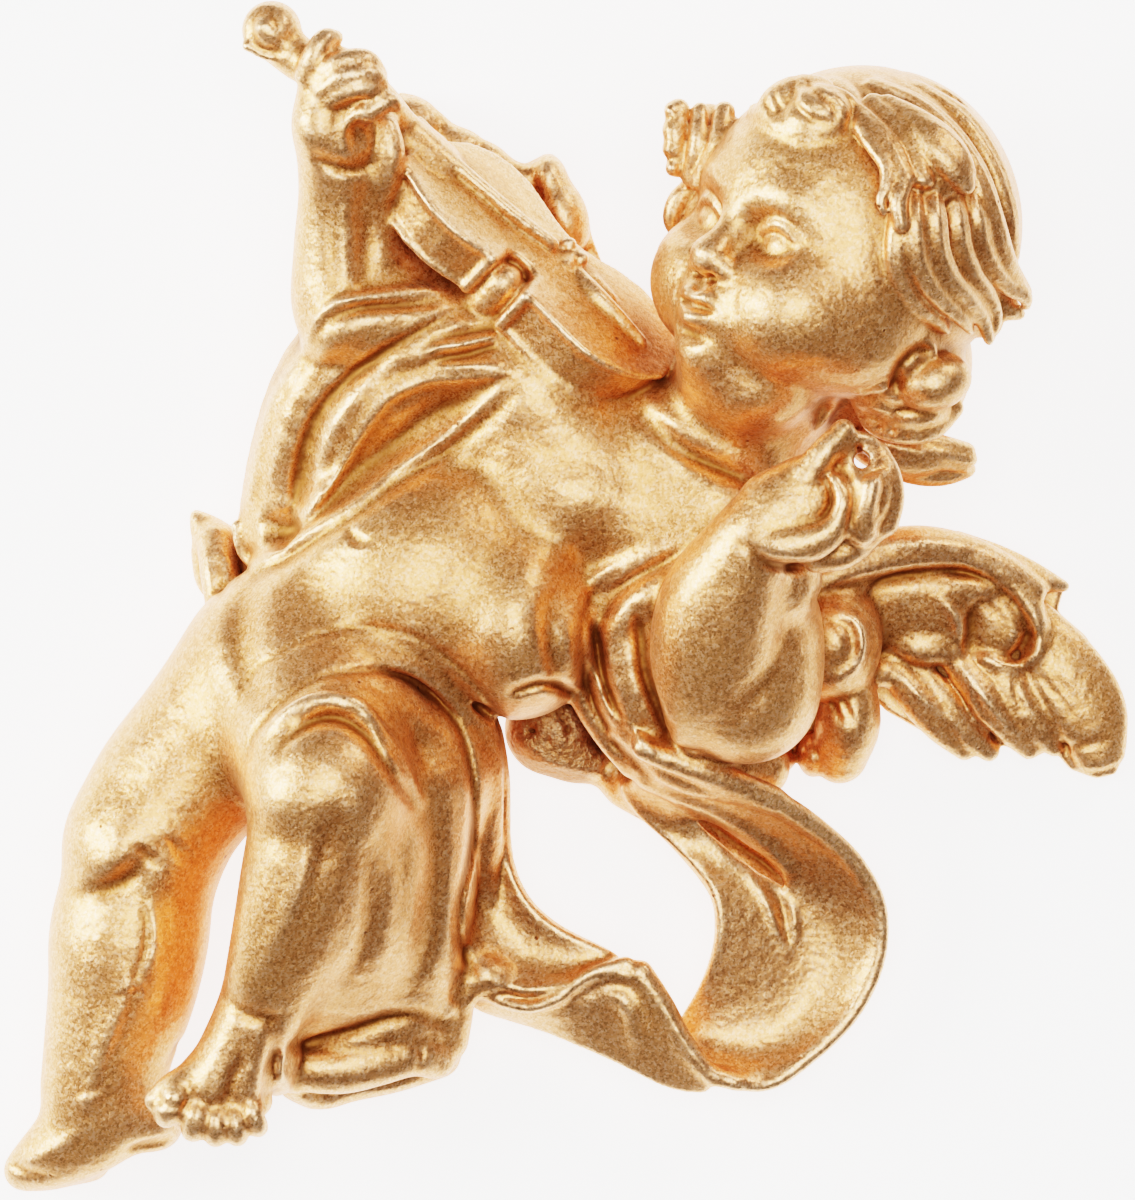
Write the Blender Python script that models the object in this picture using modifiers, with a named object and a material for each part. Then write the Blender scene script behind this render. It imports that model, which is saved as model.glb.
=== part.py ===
"""Gilded cast cherub playing a violin: one casting with a flat back, lying on it.

Metres, +Z up out of the flat back. +X runs to the near wing, +Y to the violin scroll. Shapes are
given in millimetres and scaled once. The origin is at the centre of the plan box, on the back.
"""

import math

import bmesh
import bpy
import numpy as np
from mathutils import Matrix, Vector

MM = 0.001

# Driving dimensions, in millimetres
PLAN_WIDTH = 141.6  # toe tip to wing tip
PLAN_HEIGHT = 149.4  # scroll to toe tip
BACK_LEVEL = 0.0  # the flat back of the casting
GRAIN = 0.75  # cell of the fusing remesh
FACES = 9300  # triangles of the finished casting
BOW_HOLE = 2.1  # bore through the bowing hand
BOW_HOLE_AT = (36.4, 17.4)
VIOLIN_BODY = 43.0  # body length
VIOLIN_RIB = 7.0  # thickness of the violin body
CLOTH = 2.4  # thickness of the free ribbon

HEAD = Vector((35.6, 46.0, 25.0))
FACE_FORWARD = Vector((-0.69, 0.25, 0.67)).normalized()
FACE_UP = Vector((0.36, 0.93, 0.02)).normalized()
FACE_SIDE = FACE_FORWARD.cross(FACE_UP).normalized() * -1

MASSES = []


def clear_scene():
    for obj in list(bpy.data.objects):
        bpy.data.objects.remove(obj, do_unlink=True)
    for group in list(bpy.data.collections):
        bpy.data.collections.remove(group)


def collection(name, hidden=False):
    group = bpy.data.collections.new(name)
    group.hide_render = hidden
    bpy.context.scene.collection.children.link(group)
    return group


def keep_mesh(name, bm):
    """Stores a closed bmesh, in millimetres, as one mass of the figure."""
    bmesh.ops.recalc_face_normals(bm, faces=bm.faces[:])
    mesh = bpy.data.meshes.new(name)
    bm.to_mesh(mesh)
    bm.free()
    MASSES.append(mesh)
    return mesh


def frame(forward, up):
    """Rotation whose Y is `up` and whose Z is `forward`."""
    z = Vector(forward).normalized()
    x = Vector(up).cross(z).normalized()
    y = z.cross(x)
    return Matrix((x, y, z)).transposed()


def ball(name, at, size, turn=0.0, basis=None):
    """An ellipsoid: centre, half sizes, turned about Z in degrees or set in a basis."""
    bm = bmesh.new()
    bmesh.ops.create_uvsphere(bm, u_segments=28, v_segments=18, radius=1.0)
    if isinstance(size, (int, float)):
        size = (size, size, size)
    rot = basis if basis is not None else Matrix.Rotation(math.radians(turn), 3, "Z")
    place = Matrix.Translation(at) @ rot.to_4x4() @ Matrix.Diagonal((*size, 1.0))
    bmesh.ops.transform(bm, matrix=place, verts=bm.verts[:])
    return keep_mesh(name, bm)


def limb(name, path):
    """A rounded limb or fold through points (x, y, z, radius), with round ends."""
    curve = bpy.data.curves.new(name, "CURVE")
    curve.dimensions = "3D"
    curve.bevel_depth = 1.0
    curve.bevel_resolution = 5
    curve.resolution_u = 6
    curve.use_fill_caps = True
    spline = curve.splines.new("BEZIER")
    spline.bezier_points.add(len(path) - 1)
    for point, (x, y, z, radius) in zip(spline.bezier_points, path):
        point.co = (x, y, z)
        point.radius = radius
        point.handle_left_type = point.handle_right_type = "AUTO"
    obj = bpy.data.objects.new(name, curve)
    bpy.context.scene.collection.objects.link(obj)
    bpy.context.view_layer.update()
    graph = bpy.context.evaluated_depsgraph_get()
    mesh = bpy.data.meshes.new_from_object(obj.evaluated_get(graph))
    bpy.data.objects.remove(obj)
    bm = bmesh.new()
    bm.from_mesh(mesh)
    bpy.data.meshes.remove(mesh)
    bmesh.ops.remove_doubles(bm, verts=bm.verts[:], dist=0.0001)
    keep_mesh(name, bm)
    for end in (path[0], path[-1]):
        ball(name + "_end", end[:3], end[3])


def slab(name, outline, low, high, place=None):
    """A flat outline raised from `low` to `high`, then put in place."""
    bm = bmesh.new()
    verts = [bm.verts.new((x, y, low)) for x, y in outline]
    face = bm.faces.new(verts)
    raised = bmesh.ops.extrude_face_region(bm, geom=[face])
    top = [v for v in raised["geom"] if isinstance(v, bmesh.types.BMVert)]
    bmesh.ops.translate(bm, vec=(0, 0, high - low), verts=top)
    if place is not None:
        bmesh.ops.transform(bm, matrix=place, verts=bm.verts[:])
    return keep_mesh(name, bm)


def band(name, rails, thick):
    """A thick cloth band between rails: each rail is a list of points, side by side."""
    bm = bmesh.new()
    rows = [[bm.verts.new(p) for p in rail] for rail in rails]
    for one, two in zip(rows, rows[1:]):
        for i in range(len(one) - 1):
            bm.faces.new((one[i], one[i + 1], two[i + 1], two[i]))
    bmesh.ops.recalc_face_normals(bm, faces=bm.faces[:])
    mesh = bpy.data.meshes.new(name)
    bm.to_mesh(mesh)
    bm.free()
    obj = bpy.data.objects.new(name, mesh)
    bpy.context.scene.collection.objects.link(obj)
    fine = obj.modifiers.new("fine", "SUBSURF")
    fine.levels = fine.render_levels = 2
    fine.boundary_smooth = "PRESERVE_CORNERS"
    wall = obj.modifiers.new("wall", "SOLIDIFY")
    wall.thickness = thick
    wall.offset = 0.0
    graph = bpy.context.evaluated_depsgraph_get()
    made = bpy.data.meshes.new_from_object(obj.evaluated_get(graph))
    bpy.data.objects.remove(obj)
    bpy.data.meshes.remove(mesh)
    MASSES.append(made)


def head_at(side, up, forward):
    """A point of the head from its centre, along its own directions."""
    return HEAD + FACE_SIDE * side + FACE_UP * up + FACE_FORWARD * forward


def torso():
    ball("chest", (4.5, 15, 13), (18.5, 17, 14.5), 26)
    ball("belly", (-18, 3, 14), (20, 17, 16.5), 26)
    ball("pelvis", (-35.5, -7, 14), (15, 14.5, 14.5), 26)
    ball("near_breast", (12, 8.5, 18), (9, 9, 9))
    ball("shoulder_far", (-4, 26, 18), 10.5)
    ball("shoulder_near", (19, 12, 19), 10)
    limb("neck", [(13, 17, 16, 11), (23, 26, 21, 9.5), (32, 38, 24, 10.5)])
    ball("back_lump", (0, -15, 5.5), (8, 7.5, 6))
    limb("flank", [(-6, -5, 8, 8), (4, -4, 9, 8)])
    ball("armpit_far", (-17, 42, 16), (7, 6, 8))
    ball("nape", (22, 24, 11), (14, 12, 11))


def head():
    basis = frame(FACE_FORWARD, FACE_UP)
    ball("skull", HEAD, (19.0, 19.4, 19.4), basis=basis)
    ball("cheek_near", (28.5, 35, 31), (12.5, 12, 12))
    ball("cheek_far", (19, 42, 27), (9, 9, 9))
    ball("jaw", (17.5, 35.5, 30), (9.2, 9.2, 9.5))
    limb("nose", [(21.0, 46.5, 39.5, 2.0), (17.0, 44.3, 39.0, 2.2)])
    ball("lips", (14.6, 38.2, 36.2), (3.2, 3.4, 3.2))
    ball("brow", (24.5, 49.5, 34.5), (8, 7, 6))


def hair():
    ball("crown", HEAD + Vector((1.2, 0.6, -2.0)), (19.6, 19.7, 18.5))
    limb("forelock", [(24.5, 57.5, 38, 2.8), (29, 55.5, 41.5, 3.0), (34, 58, 42, 3.2),
                      (33.5, 62, 38.5, 3.2), (28, 63, 35.5, 2.6)])
    limb("tuft_far", [(20, 55.5, 26, 5.0), (16.2, 57.2, 24, 4.0), (15.2, 53.0, 23, 2.8)])
    limb("tuft_low", [(19, 51, 22, 4.5), (14.6, 49.5, 20, 3.0), (15.2, 46, 20, 2.4)])
    limb("side_lock", [(40, 59.5, 40, 3.6), (45.5, 51, 41, 4.0), (47.5, 41.5, 38.5, 3.8), (52.5, 37, 33, 3.0)])
    limb("tip_lock", [(51.5, 49, 31, 4), (54.2, 41, 27, 3.0), (56.6, 37.6, 24, 1.6)])
    limb("ear_curl", [(34.5, 32, 38, 2.6), (38, 33, 39.5, 3.0), (41.5, 31, 37, 3.4), (40, 27, 33, 3.4)])
    limb("ball_lock", [(44, 33, 33, 4.0), (45.5, 28, 33, 5.2), (44.5, 25.5, 29, 5.0)])
    limb("low_band", [(36, 23.5, 24, 3.4), (42, 21.5, 23, 3.8), (46.5, 22, 20, 3.4)])
    limb("low_leaf", [(42, 20.0, 15, 3.2), (46.5, 17.5, 13, 2.6), (49.5, 16.6, 12, 2.0)])
    ball("low_knob", (48.7, 18.5, 14), 3.2)
    ball("nape_hair", (42, 30, 14), (12, 11, 12))


def far_arm():
    limb("arm_far", [(-5, 27, 19, 9.5), (-17, 33, 20, 8.5), (-27.5, 36.5, 22, 7.6),
                     (-28, 44, 26, 6.0), (-28.3, 53, 29.5, 5.0), (-28.5, 58, 31, 5.4)])
    ball("hand_far", (-28.4, 61.2, 31.5), (5.2, 6.6, 5.2))
    ball("knuckles", (-29.4, 65.4, 33.4), (4.4, 4.4, 4.2))
    limb("thumb_far", [(-25, 57.4, 33.5, 2.5), (-22.4, 60.2, 35, 2.2), (-21.0, 61.8, 34.8, 1.8)])
    limb("fingers_far", [(-32.0, 68.0, 32.5, 2.2), (-28.0, 66.5, 35.5, 2.6), (-24.4, 63.6, 35.8, 2.4)])


def violin_place():
    along = Vector((-0.735, 0.655, -0.16)).normalized()
    face = Vector((0.56, 0.70, 0.44))
    face = (face - along * face.dot(along)).normalized()
    across = along.cross(face).normalized()
    place = Matrix((across, along, face)).transposed().to_4x4()
    place.translation = (-5.2, 40.2, 24.0)
    return place


def violin_outline(grow=0.0):
    """Half widths of the body along its length, tail to heel, mirrored to a closed outline."""
    half = VIOLIN_BODY / 2
    stations = np.linspace(-1, 1, 41)
    widths = []
    for s in stations:
        lower = 11.6 * math.sqrt(max(0.0, 1 - ((s + 0.50) / 0.52) ** 2))
        upper = 9.6 * math.sqrt(max(0.0, 1 - ((s - 0.55) / 0.47) ** 2))
        waist = 7.2 if -0.5 < s < 0.55 else 0.0
        widths.append(max(lower, upper, waist) + grow)
    side = [(w, s * half) for w, s in zip(widths, stations)]
    return side + [(-x, y) for x, y in reversed(side)]


def violin():
    place = violin_place()
    slab("violin_body", violin_outline(), -VIOLIN_RIB / 2, VIOLIN_RIB / 2, place)
    board = [(-2.2, -4), (2.2, -4), (1.7, 32), (-1.7, 32)]
    slab("fingerboard", board, 3.0, 6.2, place)
    slab("bridge", [(-4, -7.5), (4, -7.5), (4, -5.5), (-4, -5.5)], 3.0, 7.0, place)
    slab("tailpiece", [(-2, -19), (2, -19), (3, -8), (-3, -8)], 3.0, 5.6, place)
    neck = [place @ Vector(p) for p in ((0, 20, -0.5), (0, 33, 1.6), (0, 43, 2.0))]
    limb("violin_neck", [(*neck[0], 3.6), (*neck[1], 2.9), (*neck[2], 2.8)])
    limb("pegbox", [(*neck[2], 2.9), (-35.5, 69.5, 29.5, 3.0)])
    ball("scroll", (-37.0, 71.0, 29), (3.6, 3.6, 4.2))


def shawl():
    limb("shawl_body", [(-11, 33, 16, 11.5), (-25, 27.5, 15, 11.5), (-33.5, 17, 12, 9.0),
                        (-40, 7, 10, 4.6)])
    for k in range(4):
        lift = 2.2 * k
        limb("shawl_fold", [(-11 + k, 34 - 2.6 * k, 27.5 - 0.6 * k, 2.2),
                            (-24 + 1.2 * k, 29.5 - 2.9 * k, 26.8 - 0.5 * k, 2.5),
                            (-33.5 + lift, 17 - 0.9 * k, 20.5, 2.3),
                            (-39.3 + 0.8 * k, 7.5 - 0.6 * k, 13.5, 1.8)])
    limb("shawl_tail", [(-38, 2, 5, 3.4), (-42.5, 5, 5, 3.2), (-46.0, 9.6, 5, 1.4)])
    ball("shawl_low", (-24, 18, 11), (16, 12, 11), 40)


def far_wing():
    plume = [(-21.4, 64.2), (-16, 60.8), (-11, 58.8), (-3.4, 55.8), (1, 56.2), (3.2, 52), (4.2, 44),
             (8.5, 35), (0, 28), (-14, 36), (-22, 48)]
    slab("wing_far", plume, -1.0, 6.0)
    limb("wing_far_ridge", [(-20.5, 62.6, 6, 1.6), (-11, 57, 7, 2.0), (-3.4, 53.8, 7, 2.2),
                            (0.5, 54, 6.5, 1.6)])


def extended_leg():
    limb("leg_far", [(-41, -8, 14.5, 12.5), (-45.5, -17, 14, 11.4), (-50.5, -27, 13.5, 10.9),
                     (-53.4, -36, 12.5, 10.3), (-55.2, -45.5, 11.5, 9.7), (-57, -56, 10, 8.1),
                     (-57.8, -61.5, 9, 7.0)])
    ball("knee_far", (-53.2, -31, 15.5), (8.4, 8.4, 8))
    limb("foot_far", [(-54.5, -65.5, 8, 5.2), (-59.5, -67.5, 8, 5.2), (-65, -70.2, 6.5, 3.9),
                      (-68.4, -72.0, 5.5, 2.2)])
    ball("heel_far", (-52, -66.5, 7), (3.6, 3.4, 5.4))
    limb("toes_far", [(-62, -72.4, 5.0, 2.0), (-66.5, -73.0, 4.6, 1.6)])


def bent_leg():
    limb("thigh_near", [(-33, -9, 15, 13), (-31, -16, 23, 12.5), (-30, -22.5, 31, 10.4)])
    ball("knee_near", (-30.2, -23.5, 33.5), (9.4, 9.2, 8.8))
    limb("shin_near", [(-30.5, -26, 32.5, 9.2), (-33.3, -37, 29, 8.6), (-36.4, -47, 26, 7.2),
                       (-40.0, -54, 23.5, 5.9)])
    ball("foot_near", (-42.3, -59.8, 23.5), (7.2, 6.6, 5.4), 20)
    limb("toes_near", [(-49.5, -64.5, 24.5, 2.4), (-45, -66.3, 25, 2.4), (-38.5, -65.8, 23.5, 2.2)])
    ball("heel_near", (-40, -57, 17), (5.6, 5, 5.4))


def thigh_cloth():
    ball("lap", (-25, -20, 13), (18.0, 15.5, 16), -8)
    limb("rim", [(-41.0, -20, 20, 2.4), (-40.4, -11, 24, 2.6), (-33, -6.2, 28, 2.8),
                 (-22, -5.6, 28.5, 2.8), (-12.5, -11, 23, 2.7), (-9.0, -20, 17, 2.6),
                 (-11, -29, 14.5, 2.6), (-13.6, -38, 13, 2.6), (-13.0, -46, 12, 2.2)])
    limb("second_rim", [(-38, -18, 26, 2.2), (-33, -12.2, 31, 2.4), (-24, -11.2, 30.5, 2.4),
                        (-16.5, -17, 25, 2.4), (-14.5, -27, 20, 2.3), (-17, -40, 16, 2.2)])
    limb("inner_rim", [(-36.5, -22, 33, 1.6), (-33, -16.5, 36.5, 1.8), (-26, -16, 35, 1.8),
                       (-21.5, -22, 29, 2.0), (-20, -32, 22, 2.2), (-21, -45, 17, 2.2)])
    limb("skirt", [(-22, -26, 14, 11.5), (-21.5, -38, 12, 10.5), (-22, -49, 9.5, 8.2)])
    limb("bolster", [(-32.5, -57.5, 13, 4.4), (-24, -58.8, 12, 4.6), (-16, -57.2, 10, 3.8)])
    limb("bolster_low", [(-30, -61, 9, 3.0), (-22, -59, 5, 4.0), (-17.5, -53, 6, 5.0)])
    ball("bolster_back", (-25, -54, 8), (11, 6, 8))


def ribbon():
    low = [(-13, -37, 8), (-9.6, -46.0, 9), (-3.5, -48.9, 10), (3.2, -51.3, 10),
           (8.6, -56.6, 9), (15.5, -61.4, 8)]
    mid = [(-11, -32, 7), (-7.0, -40.5, 6), (-2.0, -44.4, 7), (5.0, -46.2, 8),
           (11.0, -51.0, 8), (16.5, -57.2, 8)]
    high = [(-9, -24, 10), (-8.2, -32.5, 11), (-3.6, -38.6, 11), (4.0, -41.4, 11),
            (11.4, -46.0, 10), (17.2, -53.0, 9)]
    band("ribbon_first", [low, mid, high], CLOTH)
    inner = [(14.5, -54.5, 4), (17.5, -49.5, 3), (18.2, -44, 3), (16.6, -36, 4), (13.6, -29, 6),
             (9.6, -22.5, 9)]
    middle = [(18.5, -58.5, 4.5), (24.0, -53.5, 4), (27.5, -45, 4), (26.0, -36, 5),
              (21.5, -28.5, 8), (16, -21, 12)]
    outer = [(22.0, -60.6, 9), (31.5, -56.5, 10), (38.3, -47, 11), (38.8, -37, 12),
             (33.5, -27, 15), (23.5, -18.6, 20)]
    band("ribbon_second", [inner, middle, outer], CLOTH)
    limb("ribbon_twist", [(9.5, -55.5, 7.5, 1.8), (16.5, -58.8, 7, 2.4), (24, -60.0, 8, 1.6)])


def arm_scarf():
    limb("scarf", [(18, 5.5, 19, 8.5), (10.5, 0.5, 18, 8.5), (9.0, -8.5, 18, 7.6),
                   (12.0, -17, 15, 6.6)])
    for k in range(3):
        limb("scarf_fold", [(17 + k, 8.2 - 3.0 * k, 28 - 0.5 * k, 1.9),
                            (7.0 + 2.6 * k, 2.5 - 1.6 * k, 24 + 1.2 * k, 2.1),
                            (4.0 + 2.8 * k, -7 + 0.2 * k, 22 + 1.6 * k, 2.1),
                            (8.5 + 2.6 * k, -18 + 0.4 * k, 17 + 1.4 * k, 2.0)])
    ball("scarf_base", (13, -10, 8), (9.5, 12, 9))


def near_arm():
    limb("upper_arm_near", [(19, 11.5, 19, 9.6), (23.5, 1, 22, 9.8), (24.5, -9, 26, 10.4)])
    limb("forearm_near", [(23.0, -9.5, 30, 10.2), (23.4, -2.5, 35, 9.2), (25.3, 4.5, 38.5, 6.6)])
    ball("palm_near", (30, 9.6, 39.5), (7.0, 6.6, 6.0), 30)
    ball("fist_near", (35.6, 12.6, 40), (5.0, 6.2, 4.8), -20)
    limb("finger_near", [(30, 14, 42, 2.4), (32.6, 17.8, 42.5, 2.3), (34.4, 20.2, 41.5, 1.8)])
    limb("curled_near", [(39.0, 16.2, 41, 2.0), (38.8, 12.6, 42, 2.2), (36.4, 8.0, 41, 2.5)])
    limb("ring_near", [(34.0, 19.6, 41, 1.9), (37.0, 20.3, 40, 1.7), (39.6, 18.6, 40.5, 1.9)])


def near_wing():
    ridge = [(30, 0, 13, 4.5), (39, 4.6, 12, 3.0), (47.8, 6.2, 10.5, 2.6), (57.5, 1.6, 9, 2.4),
             (62.5, -1.6, 8, 1.8)]
    limb("wing_ridge", ridge)
    blade = [(28, 2), (39, 5.5), (48, 7.5), (58, 2.5), (63, -1), (69.0, -10.5), (70.8, -17.5),
             (69.9, -21.8), (66, -22.8), (61, -20.4), (55, -20.4), (49, -19.2), (43, -16), (39.5, -21.6),
             (33, -22.4), (26, -21.4), (22, -14)]
    slab("wing_near", blade, -1.0, 5.0)
    plumes = [((60.5, -2, 8), (68.0, -18.4, 5.5), 2.8), ((55.5, -3, 8), (61, -16.5, 5), 2.6),
              ((50.5, -5, 8), (55, -16.5, 5), 2.6), ((45.5, -7, 8.5), (49, -15.5, 5), 2.6),
              ((38, -8, 9), (36.5, -18, 6), 4.0), ((31, -10, 9), (29, -18.5, 6), 3.4)]
    for root, tip, wide in plumes:
        limb("plume", [(*root, wide), (*tip, wide * 0.9)])
    ball("covert", (44, -3, 9), (6.5, 4.6, 4.5), -20)
    ball("wing_root", (33, -6, 13), (6.5, 8.5, 8))


def fuse(group, name):
    """All masses joined, fused, eased, thinned and cut flat at the back."""
    bm = bmesh.new()
    for mesh in MASSES:
        bm.from_mesh(mesh)
        bpy.data.meshes.remove(mesh)
    mesh = bpy.data.meshes.new(name)
    bm.to_mesh(mesh)
    bm.free()
    obj = bpy.data.objects.new(name, mesh)
    group.objects.link(obj)
    cells = obj.modifiers.new("fuse", "REMESH")
    cells.mode = "VOXEL"
    cells.voxel_size = GRAIN
    ease = obj.modifiers.new("ease", "SMOOTH")
    ease.factor = 0.5
    ease.iterations = 4
    graph = bpy.context.evaluated_depsgraph_get()
    fused = bpy.data.meshes.new_from_object(obj.evaluated_get(graph))
    obj.modifiers.clear()
    obj.data = fused
    bpy.data.meshes.remove(mesh)
    return obj


def apply_modifiers(obj):
    graph = bpy.context.evaluated_depsgraph_get()
    made = bpy.data.meshes.new_from_object(obj.evaluated_get(graph))
    old = obj.data
    obj.modifiers.clear()
    obj.data = made
    bpy.data.meshes.remove(old)


def drop_crumbs(obj):
    """Keeps the largest connected shell."""
    bm = bmesh.new()
    bm.from_mesh(obj.data)
    left = set(bm.verts)
    shells = []
    while left:
        seed = left.pop()
        shell, stack = {seed}, [seed]
        while stack:
            for edge in stack.pop().link_edges:
                for vert in edge.verts:
                    if vert in left:
                        left.discard(vert)
                        shell.add(vert)
                        stack.append(vert)
        shells.append(shell)
    shells.sort(key=len)
    doomed = [v for shell in shells[:-1] for v in shell]
    if doomed:
        bmesh.ops.delete(bm, geom=doomed, context="VERTS")
    bm.to_mesh(obj.data)
    bm.free()


def thin(obj):
    count = sum(len(p.vertices) - 2 for p in obj.data.polygons)
    step = obj.modifiers.new("thin", "DECIMATE")
    step.ratio = FACES / count
    step.use_collapse_triangulate = True
    apply_modifiers(obj)


def cutter(group, name, bm):
    mesh = bpy.data.meshes.new(name)
    bm.to_mesh(mesh)
    bm.free()
    obj = bpy.data.objects.new(name, mesh)
    obj.hide_render = True
    obj.display_type = "WIRE"
    group.objects.link(obj)
    return obj


def cut(obj, tool, name):
    step = obj.modifiers.new(name, "BOOLEAN")
    step.operation = "DIFFERENCE"
    step.solver = "EXACT"
    step.object = tool
    apply_modifiers(obj)


def centre_and_scale(obj):
    """Stretches the plan to the driving size, centres it over the origin, turns to metres."""
    co = np.empty(len(obj.data.vertices) * 3)
    obj.data.vertices.foreach_get("co", co)
    co = co.reshape(-1, 3)
    low, high = co.min(axis=0), co.max(axis=0)
    middle = (high + low) / 2
    co[:, 0] = (co[:, 0] - middle[0]) * PLAN_WIDTH / (high[0] - low[0])
    co[:, 1] = (co[:, 1] - middle[1]) * PLAN_HEIGHT / (high[1] - low[1])
    co[:, 2] -= low[2]
    obj.data.vertices.foreach_set("co", (co * MM).ravel())
    obj.data.update()


def gilt():
    material = bpy.data.materials.new("gilt_resin")
    material.use_nodes = True
    shader = material.node_tree.nodes["Principled BSDF"]
    shader.inputs["Base Color"].default_value = (0.83, 0.52, 0.18, 1)
    shader.inputs["Metallic"].default_value = 0.9
    shader.inputs["Roughness"].default_value = 0.36
    material.diffuse_color = (0.83, 0.52, 0.18, 1)
    return material


def main():
    clear_scene()
    bpy.context.scene.unit_settings.system = "METRIC"
    casting = collection("angel_statue")
    cutters = collection("cutters", hidden=True)
    for build in (torso, head, hair, far_arm, violin, shawl, far_wing, extended_leg, bent_leg,
                  thigh_cloth, ribbon, arm_scarf, near_arm, near_wing):
        build()
    cherub = fuse(casting, "cherub")
    drop_crumbs(cherub)
    thin(cherub)
    bm = bmesh.new()
    bmesh.ops.create_cube(bm, size=1.0)
    place = Matrix.Translation((0, 0, BACK_LEVEL - 20)) @ Matrix.Diagonal((240, 240, 40, 1))
    bmesh.ops.transform(bm, matrix=place, verts=bm.verts[:])
    cut(cherub, cutter(cutters, "back_cutter", bm), "flat_back")
    bm = bmesh.new()
    bmesh.ops.create_cone(bm, cap_ends=True, segments=20, radius1=BOW_HOLE / 2,
                          radius2=BOW_HOLE / 2, depth=60)
    bmesh.ops.translate(bm, vec=(*BOW_HOLE_AT, 40), verts=bm.verts[:])
    cut(cherub, cutter(cutters, "bow_hole_cutter", bm), "bow_hole")
    centre_and_scale(cherub)
    for tool in list(cutters.objects):
        tool.scale = (MM, MM, MM)
    cherub.data.materials.clear()
    cherub.data.materials.append(gilt())
    cherub.data.shade_smooth()


main()
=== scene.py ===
"""Gilded cast cherub playing a violin, modelled as one block of clay and cut into closed pieces.

Sizes inside the modelling functions are millimetres in the part's own frame; meshes are stored in metres.
"""

import math

import bmesh
import bpy
import numpy as np
import openvdb
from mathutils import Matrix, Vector


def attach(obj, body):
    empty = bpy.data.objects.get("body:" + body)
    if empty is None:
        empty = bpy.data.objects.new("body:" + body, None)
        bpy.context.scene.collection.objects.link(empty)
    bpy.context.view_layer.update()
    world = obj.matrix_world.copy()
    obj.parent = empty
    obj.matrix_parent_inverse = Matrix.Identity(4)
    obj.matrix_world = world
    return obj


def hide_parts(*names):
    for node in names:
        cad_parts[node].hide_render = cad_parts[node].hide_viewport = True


bl_info = {
    "name": "Gilded cherub",
    "version": (1, 0, 0),
    "blender": (4, 5, 0),
    "location": "View3D > Sidebar > Cherub",
    "description": "Builds the gilded cast cherub with its violin",
    "category": "Add Mesh",
}

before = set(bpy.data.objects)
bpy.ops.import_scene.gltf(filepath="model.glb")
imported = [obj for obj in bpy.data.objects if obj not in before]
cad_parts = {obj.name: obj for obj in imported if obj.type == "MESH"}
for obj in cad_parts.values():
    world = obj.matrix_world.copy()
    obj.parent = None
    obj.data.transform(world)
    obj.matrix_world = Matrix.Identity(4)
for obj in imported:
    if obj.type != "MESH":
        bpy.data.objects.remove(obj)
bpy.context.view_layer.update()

MM = 0.001
FAR = 3.5  # the clay's distances are kept within this many millimetres

# ---------------------------------------------------------------- clay


def unit(v):
    v = np.asarray(v, float)
    return v / max(np.linalg.norm(v), 1e-9)


def spline(points, step):
    """Points along a smooth curve through rows of numbers, about `step` apart in their first three."""
    p = np.asarray(points, float)
    if len(p) == 2:
        p = np.array([p[0], (p[0] + p[1]) / 2, p[1]])
    gaps = np.linalg.norm(np.diff(p[:, :3], axis=0), axis=1)
    knots = np.concatenate([[0], np.cumsum(np.maximum(gaps, 1e-3))])
    slopes = np.gradient(p, knots, axis=0, edge_order=1)
    rows = []
    for i in range(len(p) - 1):
        count = max(1, int(math.ceil(gaps[i] / step)))
        t = (np.arange(count) / count)[:, None]
        h = knots[i + 1] - knots[i]
        rows.append((2 * t**3 - 3 * t**2 + 1) * p[i] + (t**3 - 2 * t**2 + t) * h * slopes[i]
                    + (3 * t**2 - 2 * t**3) * p[i + 1] + (t**3 - t**2) * h * slopes[i + 1])
    rows.append(p[-1:])
    return np.concatenate(rows)


class Patch:
    """A box of clay cells: its slices in the block and its coordinates."""

    def __init__(self, clay, low, high):
        start = [max(0, int(math.floor((low[i] - clay.low[i]) / clay.cell))) for i in range(3)]
        stop = [min(clay.size[i], int(math.ceil((high[i] - clay.low[i]) / clay.cell)) + 1)
                for i in range(3)]
        self.empty = any(b <= a for a, b in zip(start, stop))
        if self.empty:
            return
        self.cell = clay.cell
        self.at = tuple(slice(a, b) for a, b in zip(start, stop))
        ax = [clay.axes[i][start[i]:stop[i]] for i in range(3)]
        self.x, self.y, self.z = ax[0][:, None, None], ax[1][None, :, None], ax[2][None, None, :]
        self.ax = ax
        self.shape = tuple(len(a) for a in ax)
        self.low = np.array([a[0] for a in ax])

    def part(self, low, high):
        """The slices of this patch inside a smaller box, or None."""
        cuts = []
        for i in range(3):
            a = int(np.searchsorted(self.ax[i], low[i]))
            b = int(np.searchsorted(self.ax[i], high[i]))
            if b <= a:
                return None
            cuts.append(slice(a, b))
        return tuple(cuts)


def spans(rows, radius, reach):
    """Each stretch of a swept row with its box."""
    for a, b, ra, rb in zip(rows[:-1], rows[1:], radius[:-1], radius[1:]):
        wide = max(ra, rb) + reach
        yield a, b, np.minimum(a[:3], b[:3]) - wide, np.maximum(a[:3], b[:3]) + wide


def nearest(patch, cut, a, b):
    """Offsets from the stretch a-b and how far along it each cell lies."""
    x, y, z = patch.x[cut[0]], patch.y[:, cut[1]], patch.z[:, :, cut[2]]
    ab = (b - a)[:3]
    length = float(ab @ ab) or 1e-9
    px, py, pz = x - a[0], y - a[1], z - a[2]
    t = np.clip((px * ab[0] + py * ab[1] + pz * ab[2]) / length, 0, 1)
    return px - t * ab[0], py - t * ab[1], pz - t * ab[2], t


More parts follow.
